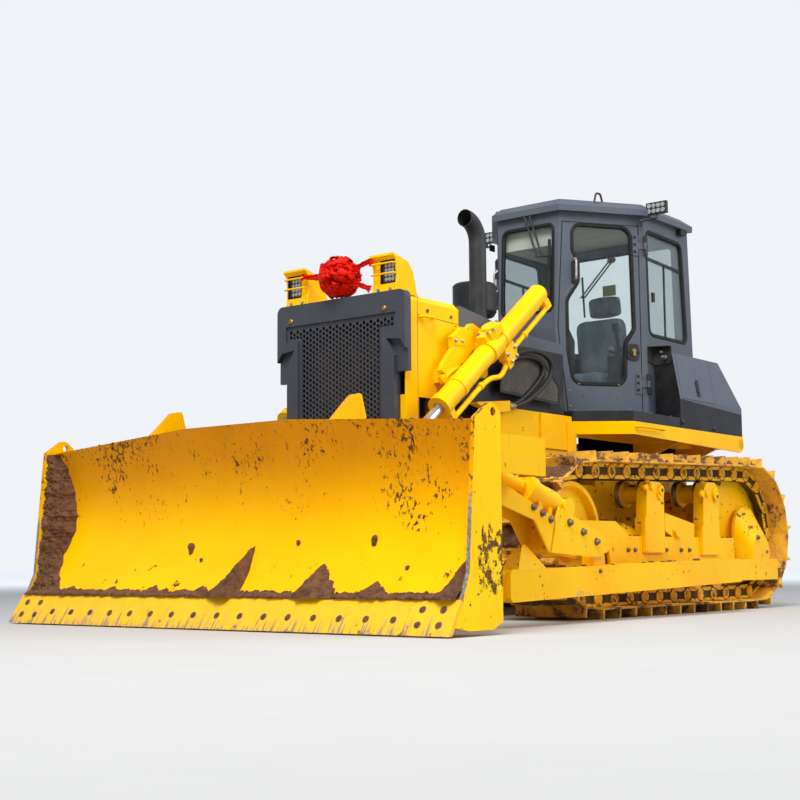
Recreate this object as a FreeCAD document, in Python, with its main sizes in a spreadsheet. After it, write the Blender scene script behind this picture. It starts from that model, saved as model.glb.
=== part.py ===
import FreeCAD
import Part
import Sketcher
import math
import os
import re

# Track-type bulldozer with a straight blade, a six-sided cab and a box-section undercarriage.
# +X is forward, +Y is the machine's left, +Z is up. The origin is on the ground, under the
# middle of the machine's length and width. All lengths are in millimetres.

App = FreeCAD
V = App.Vector
doc = App.newDocument("Bulldozer")

# Driving sizes: name, value, what it is
SIZES = [
    ("blade_tip_x", 2600.0, "cutting edge ahead of the origin"),
    ("drawbar_x", -2600.0, "rear end of the drawbar"),
    ("gauge", 1880.0, "between the middles of the two tracks"),
    ("shoe_width", 510.0, "track shoe across the machine"),
    ("shoe_plate", 12.0, "thickness of a shoe"),
    ("grouser", 58.0, "height of the bar on a shoe"),
    ("shoe_count", 37.0, "shoes in one track"),
    ("link_out", 52.0, "from a pin's middle out to the shoe"),
    ("link_in", 50.0, "from a pin's middle in to the rail"),
    ("link_thick", 45.0, "thickness of a chain link"),
    ("link_gap", 120.0, "between the two rows of links"),
    ("bush_r", 32.0, "radius of a chain bush"),
    ("sprocket_x", -2008.0, "middle of the sprocket"),
    ("sprocket_r", 440.6, "pitch radius of the sprocket"),
    ("tooth_count", 27.0, "seats round the sprocket, two for each pitch"),
    ("idler_x", 422.0, "middle of the front idler"),
    ("idler_r", 400.0, "pitch radius round the idler"),
    ("idler_tread", 334.0, "radius of the idler's treads"),
    ("roller_r", 100.0, "tread radius of a bottom roller"),
    ("roller_first_x", -1520.0, "middle of the rearmost bottom roller"),
    ("roller_step", 312.0, "between bottom rollers"),
    ("roller_count", 6.0, "bottom rollers on one side"),
    ("carrier_r", 92.0, "tread radius of a top roller"),
    ("frame_half", 150.0, "half width of a track frame"),
    ("frame_top", 520.0, "top of a track frame"),
    ("frame_low", 400.0, "underside of a track frame's box"),
    ("frame_wall", 22.0, "side plate of a track frame"),
    ("hull_half", 430.0, "half width of the main frame"),
    ("hull_low", 400.0, "belly above the ground"),
    ("hull_top", 1150.0, "top of the main frame's rear case"),
    ("hull_front", 1244.0, "front end of the main frame"),
    ("hull_rear", -2330.0, "rear end of the main frame"),
    ("case_front", -900.0, "front end of the main frame's rear case"),
    ("belly", 20.0, "belly plate"),
    ("rail_width", 90.0, "one long beam of the main frame"),
    ("rail_top", 900.0, "top of the long beams"),
    ("guard_x", 1434.0, "front face of the radiator guard"),
    ("guard_half", 525.0, "half width of the radiator guard's upper part"),
    ("guard_depth", 60.0, "radiator guard from front to back"),
    ("guard_top", 2000.0, "top of the radiator guard"),
    ("guard_low", 640.0, "bottom of the radiator guard"),
    ("guard_corner", 45.0, "corner radius of the radiator guard"),
    ("hood_half", 480.0, "half width of the yellow hood"),
    ("hood_top", 1990.0, "top of the yellow hood"),
    ("hood_rear", 824.0, "rear end of the yellow hood"),
    ("hood_low", 1360.0, "lower edge of the yellow hood's sides"),
    ("hood_skin", 5.0, "sheet of the hood"),
    ("rear_hood_half", 490.0, "half width of the black rear hood"),
    ("rear_hood_end", -700.0, "rear end of the black rear hood"),
    ("rear_hood_end_top", 1860.0, "top of the rear hood at the cab"),
    ("side_half", 540.0, "outer face of the engine side covers"),
    ("side_low", 1360.0, "lower edge of the engine side covers"),
    ("side_top", 1800.0, "upper edge of the engine side covers"),
    ("side_front", 824.0, "front edge of the engine side covers"),
    ("side_rear", -420.0, "rear edge of the engine side covers at the fender"),
    ("skirt_low", 960.0, "lower edge of the yellow side skirts"),
    ("fender_half", 880.0, "outer edge of a fender"),
    ("fender_z", 1327.0, "top of the yellow fender beam"),
    ("fender_beam", 90.0, "depth of the yellow fender beam"),
    ("fender_rear", -2432.0, "rear end of a fender"),
    ("fender_corner_x", -689.0, "where a fender reaches its full width"),
    ("sill", 75.0, "height of the black sill under the cab"),
    ("cab_front", -748.0, "front wall of the cab at its base"),
    ("cab_side_x", -1300.0, "corner where a door is hinged"),
    ("cab_half", 665.0, "half width of the cab's rear part"),
    ("cab_rear", -2060.0, "rear wall of the cab"),
    ("cab_top", 2930.0, "top of the cab's walls"),
    ("cab_wall", 40.0, "thickness of the cab's walls and doors"),
    ("cab_floor", 30.0, "floor plate of the cab"),
    ("roof_top", 3032.0, "top of the roof"),
    ("roof_over", 45.0, "overhang of the roof"),
    ("roof_bevel", 70.0, "slope round the roof's edge"),
    ("roof_tail", 40.0, "how much less the roof reaches out at the rear"),
    ("glass", 6.0, "thickness of a pane"),
    ("door_gap", 8.0, "gap round a door"),
    ("hinge_off", 14.0, "door hinge line outside the door's face"),
    ("knuckle_r", 12.0, "radius of a hinge knuckle"),
    ("hinge_pin_r", 5.0, "radius of a hinge pin"),
    ("box_front", -1395.0, "front of the rear side boxes"),
    ("box_top", 1895.0, "top of the rear side boxes"),
    ("box_lid_z", 1550.0, "lower edge of the boxes' lids"),
    ("box_wall", 4.0, "sheet of the side boxes"),
    ("box_clear", 12.0, "between the cab and a side box"),
    ("lid_slope", 60.0, "how far a side box's outer face leans in"),
    ("box_rear_slope", 275.0, "how far a side box's rear face leans in"),
    ("lid_rear", -1975.0, "rear edge of a side box's lid"),
    ("lid_gap", 3.0, "gap round a side box's lid"),
    ("lid_pin_r", 3.0, "radius of a lid's hinge pin"),
    ("tank_rear", -2440.0, "rear face of the rear tank"),
    ("tank_top", 1800.0, "top of the rear tank"),
    ("blade_half", 1694.0, "half width of the blade"),
    ("blade_top_x", 2340.0, "top edge of the blade"),
    ("blade_top", 1145.0, "top of the blade in the middle"),
    ("blade_arch", 77.0, "fall of the top edge towards the ends"),
    ("blade_skin", 20.0, "thickness of the blade's face plate"),
    ("blade_hollow_x", 2206.0, "deepest place of the blade's curve"),
    ("edge_z", 8.0, "cutting edge above the ground"),
    ("edge_height", 170.0, "height of the cutting edge's upper side"),
    ("edge_lean", 105.0, "how far the cutting edge leans forward"),
    ("edge_thick", 25.0, "thickness of the cutting edge"),
    ("end_plate", 25.0, "thickness of a blade end plate"),
    ("end_plate_rear", 2144.0, "rear edge of a blade end plate"),
    ("eye_r", 22.0, "lifting eye in a blade end plate"),
    ("eye_x", 2210.0, "lifting eye ahead of the origin"),
    ("eye_z", 1106.0, "lifting eye above the ground"),
    ("arm_in", 1240.0, "inner face of a push arm"),
    ("arm_width", 160.0, "push arm across the machine"),
    ("arm_depth", 175.0, "push arm from top to bottom at its front"),
    ("arm_front", 1990.0, "front end of a push arm"),
    ("arm_front_z", 212.0, "middle of a push arm at its front end"),
    ("trunnion_x", -1185.0, "middle of the push arm's trunnion"),
    ("trunnion_z", 288.0, "trunnion above the ground"),
    ("trunnion_r", 50.0, "radius of the trunnion pin"),
    ("play", 0.3, "clearance of a turning joint"),
    ("yoke_face", 520.0, "outer face of a lift yoke"),
    ("yoke_pin_r", 32.0, "pin between a yoke and its lift barrel"),
    ("lift_side", 625.0, "middle of a lift cylinder beside the hood"),
    ("lift_pivot_x", 683.0, "trunnion of a lift cylinder"),
    ("lift_pivot_z", 1705.0, "trunnion of a lift cylinder above the ground"),
    ("lift_eye_x", 2000.0, "rod eye of a lift cylinder"),
    ("lift_eye_z", 690.0, "rod eye above the ground"),
    ("lift_barrel_r", 68.0, "radius of a lift barrel"),
    ("lift_rod_r", 34.0, "radius of a lift rod"),
    ("lift_ahead", 697.0, "barrel ahead of its trunnion"),
    ("lift_behind", 739.0, "barrel behind its trunnion"),
    ("lift_end", 60.0, "closed end of a lift barrel"),
    ("lift_travel", 600.0, "how far a lift rod goes in from rest"),
    ("brace_low_x", 640.0, "brace pin on a push arm"),
    ("brace_low_z", 455.0, "brace pin on a push arm above the ground"),
    ("brace_high_x", 2080.0, "brace pin behind the blade"),
    ("brace_high_z", 960.0, "brace pin behind the blade above the ground"),
    ("exhaust_r", 60.0, "radius of the exhaust pipe"),
    ("cleaner_r", 157.0, "radius of the air cleaner"),
    ("guard_column", 440.0, "half width of the radiator guard's lower part"),
    ("guard_shoulder", 1640.0, "where the radiator guard gets narrower"),
    ("guard_flange", 1503.0, "lower end of the guard's side flanges"),
    ("mesh_half", 345.0, "half width of the guard's lower mesh"),
    ("mesh_band", 450.0, "half width of the guard's upper mesh"),
    ("mesh_step", 1763.0, "lower edge of the guard's upper mesh"),
    ("mesh_top", 1865.0, "upper edge of the guard's mesh"),
    ("core_half", 400.0, "half width of the radiator core"),
    ("core_top", 1900.0, "top of the radiator core"),
    ("lamp_in", 268.0, "inner side of a lamp hood"),
    ("lamp_width", 187.0, "lamp hood across the machine"),
    ("lamp_height", 227.0, "lamp hood above the guard"),
    ("bow_x", 1400.0, "middle of the ribbon bow"),
    ("bow_y", -20.0, "middle of the ribbon bow across the machine"),
    ("bow_r", 150.0, "radius of the ribbon bow"),
    ("engine_top", 1560.0, "top of the engine block"),
    ("engine_rear", -300.0, "rear end of the engine block"),
    ("engine_front", 1000.0, "front end of the engine block"),
    ("rear_hood_end_half", 230.0, "half width of the rear hood at the cab"),
    ("rear_hood_knee", 200.0, "where the rear hood's top changes its slope"),
    ("rear_hood_knee_top", 1890.0, "top of the rear hood at the change of slope"),
    ("rear_hood_taper", -400.0, "where the rear hood starts to taper to the cab"),
    ("skirt_front", 620.0, "front end of the yellow side skirts"),
    ("exhaust_x", 130.0, "exhaust pipe ahead of the origin"),
    ("exhaust_y", 143.0, "exhaust pipe to the left of the middle"),
    ("exhaust_bend", 2560.0, "where the exhaust pipe turns forward"),
    ("exhaust_reach", 150.0, "how far the exhaust's end reaches up and forward"),
    ("cleaner_x", -140.0, "air cleaner ahead of the origin"),
    ("cleaner_y", -80.0, "air cleaner to the left of the middle"),
    ("cleaner_stem", 60.0, "radius of the pipe under the air cleaner"),
    ("cleaner_rise", 90.0, "air cleaner's can above the hood"),
    ("cleaner_height", 255.0, "height of the air cleaner's can"),
    ("knee_front", -690.0, "front wall of the cab at its knee"),
    ("cab_front_top", -735.0, "front wall of the cab at its top"),
    ("knee_z", 2060.0, "height of the knee in the cab's front wall"),
    ("door_slope", 0.6893, "how fast a door's wall runs in, for each length forward"),
    ("cab_rear_top", -2000.0, "rear wall of the cab at its top"),
    ("door_low", 10.0, "doorway above the cab's base"),
    ("door_head", 70.0, "doorway below the cab's top"),
    ("door_edge", 45.0, "cab corner to the doorway at the hinges"),
    ("door_front_edge", 22.0, "doorway to the cab's front corner"),
    ("hinge_low_z", 1660.0, "middle of the lower door hinge"),
    ("hinge_high_z", 2705.0, "middle of the upper door hinge"),
    ("hinge_half", 75.0, "half height of a door hinge"),
    ("knuckle_half", 24.0, "half height of a door hinge's middle knuckle"),
    ("hinge_leaf", 6.0, "thickness of a door hinge's leaf"),
    ("seat_x", -1600.0, "middle of the seat"),
    ("lid_knuckle", 23.0, "half length of a lid's hinge knuckle"),
    ("ear_apex_x", 2242.0, "highest place of a blade end plate"),
    ("ear_apex_z", 1150.0, "top of a blade end plate above the ground"),
    ("fin_y", 720.0, "middle of a blade fin to the side"),
    ("fin_thick", 24.0, "thickness of a blade fin"),
    ("fin_top", 1288.0, "top of a blade fin"),
    ("bit_width", 288.0, "length of an end bit"),
    ("arm_low", 139.0, "underside of a push arm's front end"),
    ("arm_nose", 1640.0, "front end of a push arm's box"),
    ("arm_end_r", 80.0, "radius of a push arm's rounded rear end"),
    ("arm_neck", 80.0, "width of a push arm's neck"),
    ("knuckle_big", 80.0, "radius of a push arm's front eye"),
    ("brace_eye", 40.0, "half width of the braces' eyes and lugs"),
    ("tilt_low_x", 1010.0, "rear eye of the tilt cylinder"),
    ("tilt_low_z", 667.0, "rear eye of the tilt cylinder above the ground"),
    ("link_inner", 72.0, "middle of the brace to the inner face of its link"),
    ("link_plate", 12.0, "thickness of the brace link's plates"),
    ("post_in", 1057.0, "inner side of a top roller's post"),
    ("post_out", 1135.0, "outer side of a top roller's post"),
    ("post_foot", 412.0, "underside of a post's foot"),
    ("post_foot_top", 640.0, "top of a post's foot"),
    ("post_rise", 75.0, "top of a post above its roller's middle"),
    ("cover_out", 1185.0, "outer face of a final drive's cover"),
    ("fender_plate", 14.0, "sheet of a fender"),
    ("fender_low_rear", 1200.0, "lower edge of a fender's outer beam at its rear"),
    ("fender_leg", 960.0, "lower end of a fender's front leg"),
    ("tank_hole", 60.0, "radius of the rear tank's cap"),
    ("draw_low", 520.0, "underside of the drawbar"),
    ("draw_hole_r", 28.0, "radius of the drawbar's pin hole"),
]

sheet = doc.addObject("Spreadsheet::Sheet", "Sizes")
for row, (alias, value, note) in enumerate(SIZES, start=1):
    sheet.set("A%d" % row, note)
    sheet.set("B%d" % row, str(value))
    sheet.setAlias("B%d" % row, alias)
doc.recompute()


class Named:
    """Reads a size from the sheet by its name."""

    def __getattr__(self, alias):
        return float(sheet.get(alias))


n = Named()
ALIAS_WORDS = re.compile(r"\b(%s)\b" % "|".join(alias for alias, value, note in SIZES))
PIECES = []


def bind(thing, prop, formula):
    thing.setExpression(prop, ALIAS_WORDS.sub(r"Sizes.\1", formula))


# Drawing helpers: a loop is a list of points; ("arc", middle, end) curves to its end;
# ("circle", u, v, r) is a whole loop
PLANES = {
    "XY": (App.Rotation(), V(0, 0, 1)),
    "XZ": (App.Rotation(V(1, 0, 0), 90), V(0, 1, 0)),
    "YZ": (App.Rotation(V(1, 1, 1), 120), V(1, 0, 0)),
}


def flat(point):
    return V(point[0], point[1], 0)


def draw_loop(sketch, loop):
    if loop[0] == "circle":
        sketch.addGeometry(Part.Circle(V(loop[1], loop[2], 0), V(0, 0, 1), loop[3]), False)
        return
    first = sketch.GeometryCount
    here = loop[0]
    for step in list(loop[1:]) + [loop[0]]:
        if step[0] == "arc":
            sketch.addGeometry(Part.Arc(flat(here), flat(step[1]), flat(step[2])), False)
            here = step[2]
        elif flat(step).distanceToPoint(flat(here)) > 1e-6:
            sketch.addGeometry(Part.LineSegment(flat(here), flat(step)), False)
            here = step
    count = sketch.GeometryCount - first
    joints = []
    for index in range(count):
        after = first + (index + 1) % count
        mine = end_of(sketch, first + index, after)
        joints.append(Sketcher.Constraint("Coincident", first + index, mine[0], after, mine[1]))
    sketch.addConstraint(joints)


def end_of(sketch, one, two):
    """Which end of one edge meets which end of the next: 1 is a start, 2 is an end."""
    best = None
    for a in (1, 2):
        for b in (1, 2):
            apart = sketch.getPoint(one, a).distanceToPoint(sketch.getPoint(two, b))
            if best is None or apart < best[0]:
                best = (apart, a, b)
    return best[1], best[2]


def draw(name, plane, loops, offset):
    turn, normal = PLANES[plane]
    sketch = doc.addObject("Sketcher::SketchObject", name)
    sketch.Placement = App.Placement(normal * offset, turn)
    for loop in loops:
        draw_loop(sketch, loop)
    return sketch


def extrude(name, plane, loops, start, length):
    """A flat outline given a thickness; start is its place along the plane's normal."""
    normal = PLANES[plane][1]
    solid = doc.addObject("Part::Extrusion", name)
    solid.Base = draw(name + "_outline", plane, loops, start)
    solid.DirMode = "Custom"
    solid.Dir = normal
    solid.Solid = True
    solid.FaceMakerClass = "Part::FaceMakerBullseye"
    if isinstance(length, str):
        bind(solid, "LengthFwd", length)
    else:
        solid.LengthFwd = length
    return solid


def turned(name, profile, centre, along):
    """A round piece: its profile is (place along the axis, radius) pairs."""
    loop = [(radius, place) for place, radius in profile]
    solid = doc.addObject("Part::Revolution", name)
    sketch = doc.addObject("Sketcher::SketchObject", name + "_profile")
    draw_loop(sketch, loop)
    turn = App.Rotation(V(0, 0, 1), V(*along))
    sketch.Placement = App.Placement(V(*centre), turn.multiply(App.Rotation(V(1, 0, 0), 90)))
    solid.Source = sketch
    solid.Axis = V(*along)
    solid.Base = V(*centre)
    solid.Angle = 360
    solid.Solid = True
    return solid


def rod(name, centre, along, radius, low, high):
    """A plain round bar between two places on its axis."""
    bar = doc.addObject("Part::Cylinder", name)
    direction = V(*along).normalize()
    bar.Placement = App.Placement(V(*centre) + direction * low, App.Rotation(V(0, 0, 1), direction))
    if isinstance(radius, str):
        bind(bar, "Radius", radius)
    else:
        bar.Radius = radius
    bar.Height = high - low
    return bar


def block(name, low, high):
    box = doc.addObject("Part::Box", name)
    box.Placement.Base = V(*low)
    box.Length = high[0] - low[0]
    box.Width = high[1] - low[1]
    box.Height = high[2] - low[2]
    return box


def smooth(corners):
    """A loop with round corners from (u, v, radius) places."""
    steps = []
    count = len(corners)
    for index in range(count):
        here = V(corners[index][0], corners[index][1], 0)
        back = V(corners[index - 1][0], corners[index - 1][1], 0) - here
        ahead = V(corners[(index + 1) % count][0], corners[(index + 1) % count][1], 0) - here
        radius = corners[index][2]
        if radius <= 0:
            steps.append(((here.x, here.y), None, None))
            continue
        half = back.getAngle(ahead) / 2
        reach = radius / math.tan(half)
        start = here + V(back).normalize() * reach
        end = here + V(ahead).normalize() * reach
        inward = (V(back).normalize() + V(ahead).normalize()).normalize()
        middle = here + inward * (radius / math.sin(half) - radius)
        steps.append(((start.x, start.y), (middle.x, middle.y), (end.x, end.y)))
    loop = []
    for start, middle, end in steps:
        loop.append(start)
        if middle is not None:
            loop.append(("arc", middle, end))
    return loop


def fuse(name, parts):
    joined = doc.addObject("Part::MultiFuse", name)
    joined.Shapes = parts
    joined.Refine = True
    return joined


def cut(name, body, tools):
    tool = tools[0] if len(tools) == 1 else fuse(name + "_tools", tools)
    result = doc.addObject("Part::Cut", name)
    result.Base = body
    result.Tool = tool
    result.Refine = True
    return result


def common(name, one, two):
    shared = doc.addObject("Part::Common", name)
    shared.Base = one
    shared.Tool = two
    return shared


def loft(name, sections):
    """A straight-sided solid between outlines."""
    solid = doc.addObject("Part::Loft", name)
    solid.Sections = sections
    solid.Solid = True
    solid.Ruled = True
    return solid


def other_side(name, source):
    mirror = doc.addObject("Part::Mirroring", name)
    mirror.Source = source
    mirror.Normal = V(0, 1, 0)
    mirror.Base = V(0, 0, 0)
    return mirror


def group(name, parts):
    together = doc.addObject("Part::Compound", name)
    together.Links = parts
    return together


def both_sides(name, left):
    """The left piece and its mirror image as one sub-part of two solids."""
    return group(name, [left, other_side(name + "_mirrored", left)])


def piece(label, thing):
    thing.Label = label
    PIECES.append(thing)
    return thing


# Track path
def track_pins():
    """Middles of the chain's pins in the XZ plane, from the sprocket's rear top, clockwise.

    Pins seat exactly in the sprocket's teeth; the rest share out the runs and the idler."""
    ground = n.grouser + n.shoe_plate + n.link_out
    hub = V(n.sprocket_x, 0, ground + n.sprocket_r)
    wheel = V(n.idler_x, 0, ground + n.idler_r)
    span = wheel - hub
    slope = math.atan2(span.z, span.x)
    lean = math.acos((n.sprocket_r - n.idler_r) / span.Length)
    top = slope + lean
    low = -math.pi / 2
    seat = 4 * math.pi / n.tooth_count
    seated = 3
    start = math.pi - seated * seat
    end = math.pi + seated * seat

    def on(centre, radius, angle):
        return centre + V(math.cos(angle), 0, math.sin(angle)) * radius

    straight = (on(wheel, n.idler_r, top) - on(hub, n.sprocket_r, top)).Length
    stretches = [
        ("arc", hub, n.sprocket_r, start, top),
        ("line", on(hub, n.sprocket_r, top), on(wheel, n.idler_r, top), straight),
        ("arc", wheel, n.idler_r, top, low),
        ("line", on(wheel, n.idler_r, low), on(hub, n.sprocket_r, low), n.idler_x - n.sprocket_x),
        ("arc", hub, n.sprocket_r, 3 * math.pi / 2, end),
    ]
    lengths = []
    for stretch in stretches:
        if stretch[0] == "arc":
            lengths.append(abs(stretch[4] - stretch[3]) * stretch[2])
        else:
            lengths.append(stretch[3])
    free = int(n.shoe_count) - 2 * seated
    step = sum(lengths) / free
    pins = []
    for index in range(free + 1):
        along = index * step
        for stretch, length in zip(stretches, lengths):
            if along <= length + 1e-6:
                break
            along -= length
        share = min(along / length, 1.0)
        if stretch[0] == "arc":
            angle = stretch[3] + (stretch[4] - stretch[3]) * share
            pins.append(on(stretch[1], stretch[2], angle))
        else:
            pins.append(stretch[1] + (stretch[2] - stretch[1]) * share)
    for index in range(1, 2 * seated):
        pins.append(on(hub, n.sprocket_r, end - index * seat))
    return pins


PINS = track_pins()
GROUND = n.grouser + n.shoe_plate + n.link_out
HUB_Z = GROUND + n.sprocket_r
IDLER_Z = GROUND + n.idler_r
TRACK_Y = n.gauge / 2
RAIL_Z = GROUND + n.link_in


def chords():
    """Each link as its first pin, its direction, the outward direction and its length."""
    count = len(PINS)
    for index in range(count):
        first = PINS[index]
        run = PINS[(index + 1) % count] - first
        along = V(run).normalize()
        yield first, along, V(-along.z, 0, along.x), run.Length


def offset_loop(out):
    """The chain's line moved out by a distance, with mitred corners."""
    links = list(chords())
    points = []
    for index, (pin, along, outward, length) in enumerate(links):
        before = links[index - 1][2]
        half = V(before + outward).normalize()
        reach = out / half.dot(outward)
        spot = pin + half * reach
        points.append((spot.x, spot.z))
    return points


def shoe_loop():
    """The outer outline of the shoes: plate, grouser and the groove to the next shoe."""
    plate = n.link_out + n.shoe_plate
    tip = plate + n.grouser
    groove = n.link_out + n.shoe_plate / 2
    gap = 3.0
    profile = [
        (gap, groove),
        (gap, plate),
        (14.0, plate),
        (18.0, tip),
        (30.0, tip),
        (38.0, plate),
        (-gap, plate),
        (-gap, groove),
    ]
    points = []
    for pin, along, outward, length in chords():
        for place, height in profile:
            reach = place if place > 0 else length + place
            spot = pin + along * reach + outward * height
            points.append((spot.x, spot.z))
    return points


def make_tracks():
    loops = [shoe_loop(), offset_loop(n.link_out)]
    belt = extrude("shoe_belt", "XZ", loops, TRACK_Y - n.shoe_width / 2, "shoe_width")
    return piece("tracks", both_sides("tracks", belt))


def make_chains():
    loops = [offset_loop(n.link_out), offset_loop(-n.link_in)]
    inner = extrude("link_row_in", "XZ", loops, TRACK_Y - n.link_gap / 2 - n.link_thick, "link_thick")
    outer = extrude("link_row_out", "XZ", loops, TRACK_Y + n.link_gap / 2, "link_thick")
    bushes = []
    for index, pin in enumerate(PINS):
        half = n.link_gap / 2
        place = (pin.x, TRACK_Y, pin.z)
        bushes.append(rod("bush_%02d" % index, place, (0, 1, 0), "bush_r", -half, half))
    chain = fuse("chain_left", [inner, outer] + bushes)
    return piece("track_chains", both_sides("track_chains", chain))


def make_sprockets():
    """Toothed ring: a round seat under each bush, teeth between the seats."""
    body = doc.addObject("PartDesign::Body", "sprocket_left")
    planes = {plane.Role: plane for plane in body.Origin.OriginFeatures}
    disc = body.newObject("Sketcher::SketchObject", "sprocket_disc")
    disc.AttachmentSupport = [(planes["XZ_Plane"], "")]
    disc.MapMode = "FlatFace"
    disc.addGeometry(Part.Circle(V(0, 0, 0), V(0, 0, 1), n.sprocket_r - 2), False)
    pad = body.newObject("PartDesign::Pad", "sprocket_pad")
    pad.Profile = disc
    pad.Midplane = True
    pad.Length = 70
    doc.recompute()
    seat = body.newObject("Sketcher::SketchObject", "bush_seat")
    seat.AttachmentSupport = [(planes["XZ_Plane"], "")]
    seat.MapMode = "FlatFace"
    first = math.pi
    middle = V(math.cos(first), math.sin(first), 0) * n.sprocket_r
    seat.addGeometry(Part.Circle(middle, V(0, 0, 1), n.bush_r + 1), False)
    pocket = body.newObject("PartDesign::Pocket", "seat_pocket")
    pocket.Profile = seat
    pocket.Midplane = True
    pocket.Type = "ThroughAll"
    doc.recompute()
    turns = body.newObject("PartDesign::PolarPattern", "seats")
    turns.Originals = [pocket]
    turns.Axis = (seat, ["N_Axis"])
    turns.Angle = 360
    turns.Occurrences = int(n.tooth_count)
    body.Tip = turns
    doc.recompute()
    body.Placement = App.Placement(V(n.sprocket_x, TRACK_Y, HUB_Z), App.Rotation())
    hub = turned("sprocket_hub", [(-75, 0), (-75, 200), (-35, 330), (35, 330), (75, 180), (75, 0)],
                 (n.sprocket_x, TRACK_Y, HUB_Z), (0, 1, 0))
    wheel = fuse("sprocket_wheel", [body, hub])
    return piece("sprockets", both_sides("sprockets", wheel))


def make_idlers():
    rim = n.idler_tread
    flange = n.idler_r - n.bush_r - 18
    side = n.link_gap / 2 + n.link_thick
    profile = [
        (-side, 70),
        (-side, 150),
        (-side + 40, 170),
        (-side + 40, rim - 50),
        (-side, rim - 30),
        (-side, rim),
        (-n.link_gap / 2 + 10, rim),
        (-n.link_gap / 2 + 10, flange),
        (n.link_gap / 2 - 10, flange),
        (n.link_gap / 2 - 10, rim),
        (side, rim),
        (side, rim - 30),
        (side - 40, rim - 50),
        (side - 40, 170),
        (side, 150),
        (side, 70),
    ]
    wheel = turned("idler_left", profile, (n.idler_x, TRACK_Y, IDLER_Z), (0, 1, 0))
    return piece("idlers", both_sides("idlers", wheel))


def roller(name, centre, radius, shaft):
    """A flanged roller on its shaft."""
    side = n.link_gap / 2 + n.link_thick
    profile = [
        (-shaft, 0),
        (-shaft, 34),
        (-side - 22, 34),
        (-side - 22, radius - 20),
        (-side - 18, radius + 16),
        (-side - 5, radius + 16),
        (-side - 5, radius),
        (-n.link_gap / 2 + 4, radius),
        (-n.link_gap / 2 + 14, radius - 22),
        (n.link_gap / 2 - 14, radius - 22),
        (n.link_gap / 2 - 4, radius),
        (side + 5, radius),
        (side + 5, radius + 16),
        (side + 18, radius + 16),
        (side + 22, radius - 20),
        (side + 22, 34),
        (shaft, 34),
        (shaft, 0),
    ]
    return turned(name, profile, centre, (0, 1, 0))


def make_bottom_rollers():
    rollers = []
    height = RAIL_Z + n.play + n.roller_r
    for index in range(int(n.roller_count)):
        place = (n.roller_first_x + index * n.roller_step, TRACK_Y, height)
        rollers.append(roller("bottom_roller_%d" % index, place, n.roller_r, n.frame_half))
    left = group("bottom_rollers_left", rollers)
    return piece("bottom_rollers", both_sides("bottom_rollers", left))


def top_run(x):
    """Height of the chain's pins on the top run."""
    share = (x - n.sprocket_x) / (n.idler_x - n.sprocket_x)
    return HUB_Z + n.sprocket_r + share * (IDLER_Z + n.idler_r - HUB_Z - n.sprocket_r)


CARRIER_X = (-1375.0, -550.0)


def carrier_height(x):
    return top_run(x) - n.link_in - n.carrier_r - 2.5


def make_carrier_rollers():
    rollers = []
    for index, x in enumerate(CARRIER_X):
        reach = n.link_gap / 2 + n.link_thick + 12
        profile = [
            (-reach, 0),
            (-reach, n.carrier_r - 12),
            (-n.link_gap / 2 - n.link_thick - 4, n.carrier_r),
            (-n.link_gap / 2 + 2, n.carrier_r),
            (-n.link_gap / 2 + 12, n.carrier_r - 26),
            (n.link_gap / 2 - 12, n.carrier_r - 26),
            (n.link_gap / 2 - 2, n.carrier_r),
            (n.link_gap / 2 + n.link_thick + 4, n.carrier_r),
            (reach, n.carrier_r - 12),
            (reach, 0),
        ]
        place = (x, TRACK_Y, carrier_height(x))
        rollers.append(turned("carrier_%d" % index, profile, place, (0, 1, 0)))
    left = group("carriers_left", rollers)
    return piece("carrier_rollers", both_sides("carrier_rollers", left))


def spring_cover(front):
    """The round-topped cover of the idler's spring."""
    half = n.frame_half - 30
    low = n.frame_top - 40
    top = n.frame_top + 98
    return extrude("spring_cover", "YZ", [[
        (TRACK_Y - half, low),
        (TRACK_Y + half, low),
        (TRACK_Y + half, top - half * 0.7),
        ("arc", (TRACK_Y, top), (TRACK_Y - half, top - half * 0.7)),
    ]], front - 570, 570)


def carrier_post(index, x):
    """A foot on the frame, a casting bolted on it and the boss that holds the roller's shaft."""
    height = carrier_height(x)
    name = "post_%d" % index
    foot_low = n.post_foot if index else n.post_foot - 14
    foot_top = n.post_foot_top if index else n.post_foot_top - 42
    foot = block(name + "_foot", (x - 62, n.post_in, foot_low), (x + 207, n.post_out, foot_top))
    casting = extrude(name + "_casting", "XZ", [smooth([
        (x - 60, foot_top, 0),
        (x + 190, foot_top, 0),
        (x + 175, height + 10, 20),
        (x + 120, height + n.post_rise, 30),
        (x - 20, height + n.post_rise, 50),
        (x - 60, height + 20, 30),
    ])], n.post_in, n.post_out - n.post_in)
    boss = rod(name + "_boss", (x, 0, height), (0, 1, 0), 42, n.post_in, n.post_out + 12)
    return [foot, casting, boss]


def rear_frame_boxes(rear):
    """The wedge between the posts and the closed box below the final drive's cover."""
    high_y = TRACK_Y + n.frame_half
    wedge = extrude("wedge_box", "XZ", [[
        (CARRIER_X[1] - 108, 682),
        (CARRIER_X[1] - 541, 613),
        (CARRIER_X[1] - 532, 484),
        (CARRIER_X[1] - 318, 482),
        (CARRIER_X[1] - 115, 557),
    ]], n.post_in, high_y + n.frame_wall - n.post_in)
    seat = block("wedge_seat", (CARRIER_X[1] - 520, n.post_in, n.frame_top - 90),
                 (CARRIER_X[1] - 120, high_y, n.frame_top))
    low_box = block("rear_box", (n.sprocket_x - 302, high_y + 10, 211),
                    (rear - 76, n.cover_out, 367))
    tie = block("rear_tie", (rear - 180, high_y, 240), (rear - 90, high_y + 60, 367))
    return [wedge, seat, low_box, tie]


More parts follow.
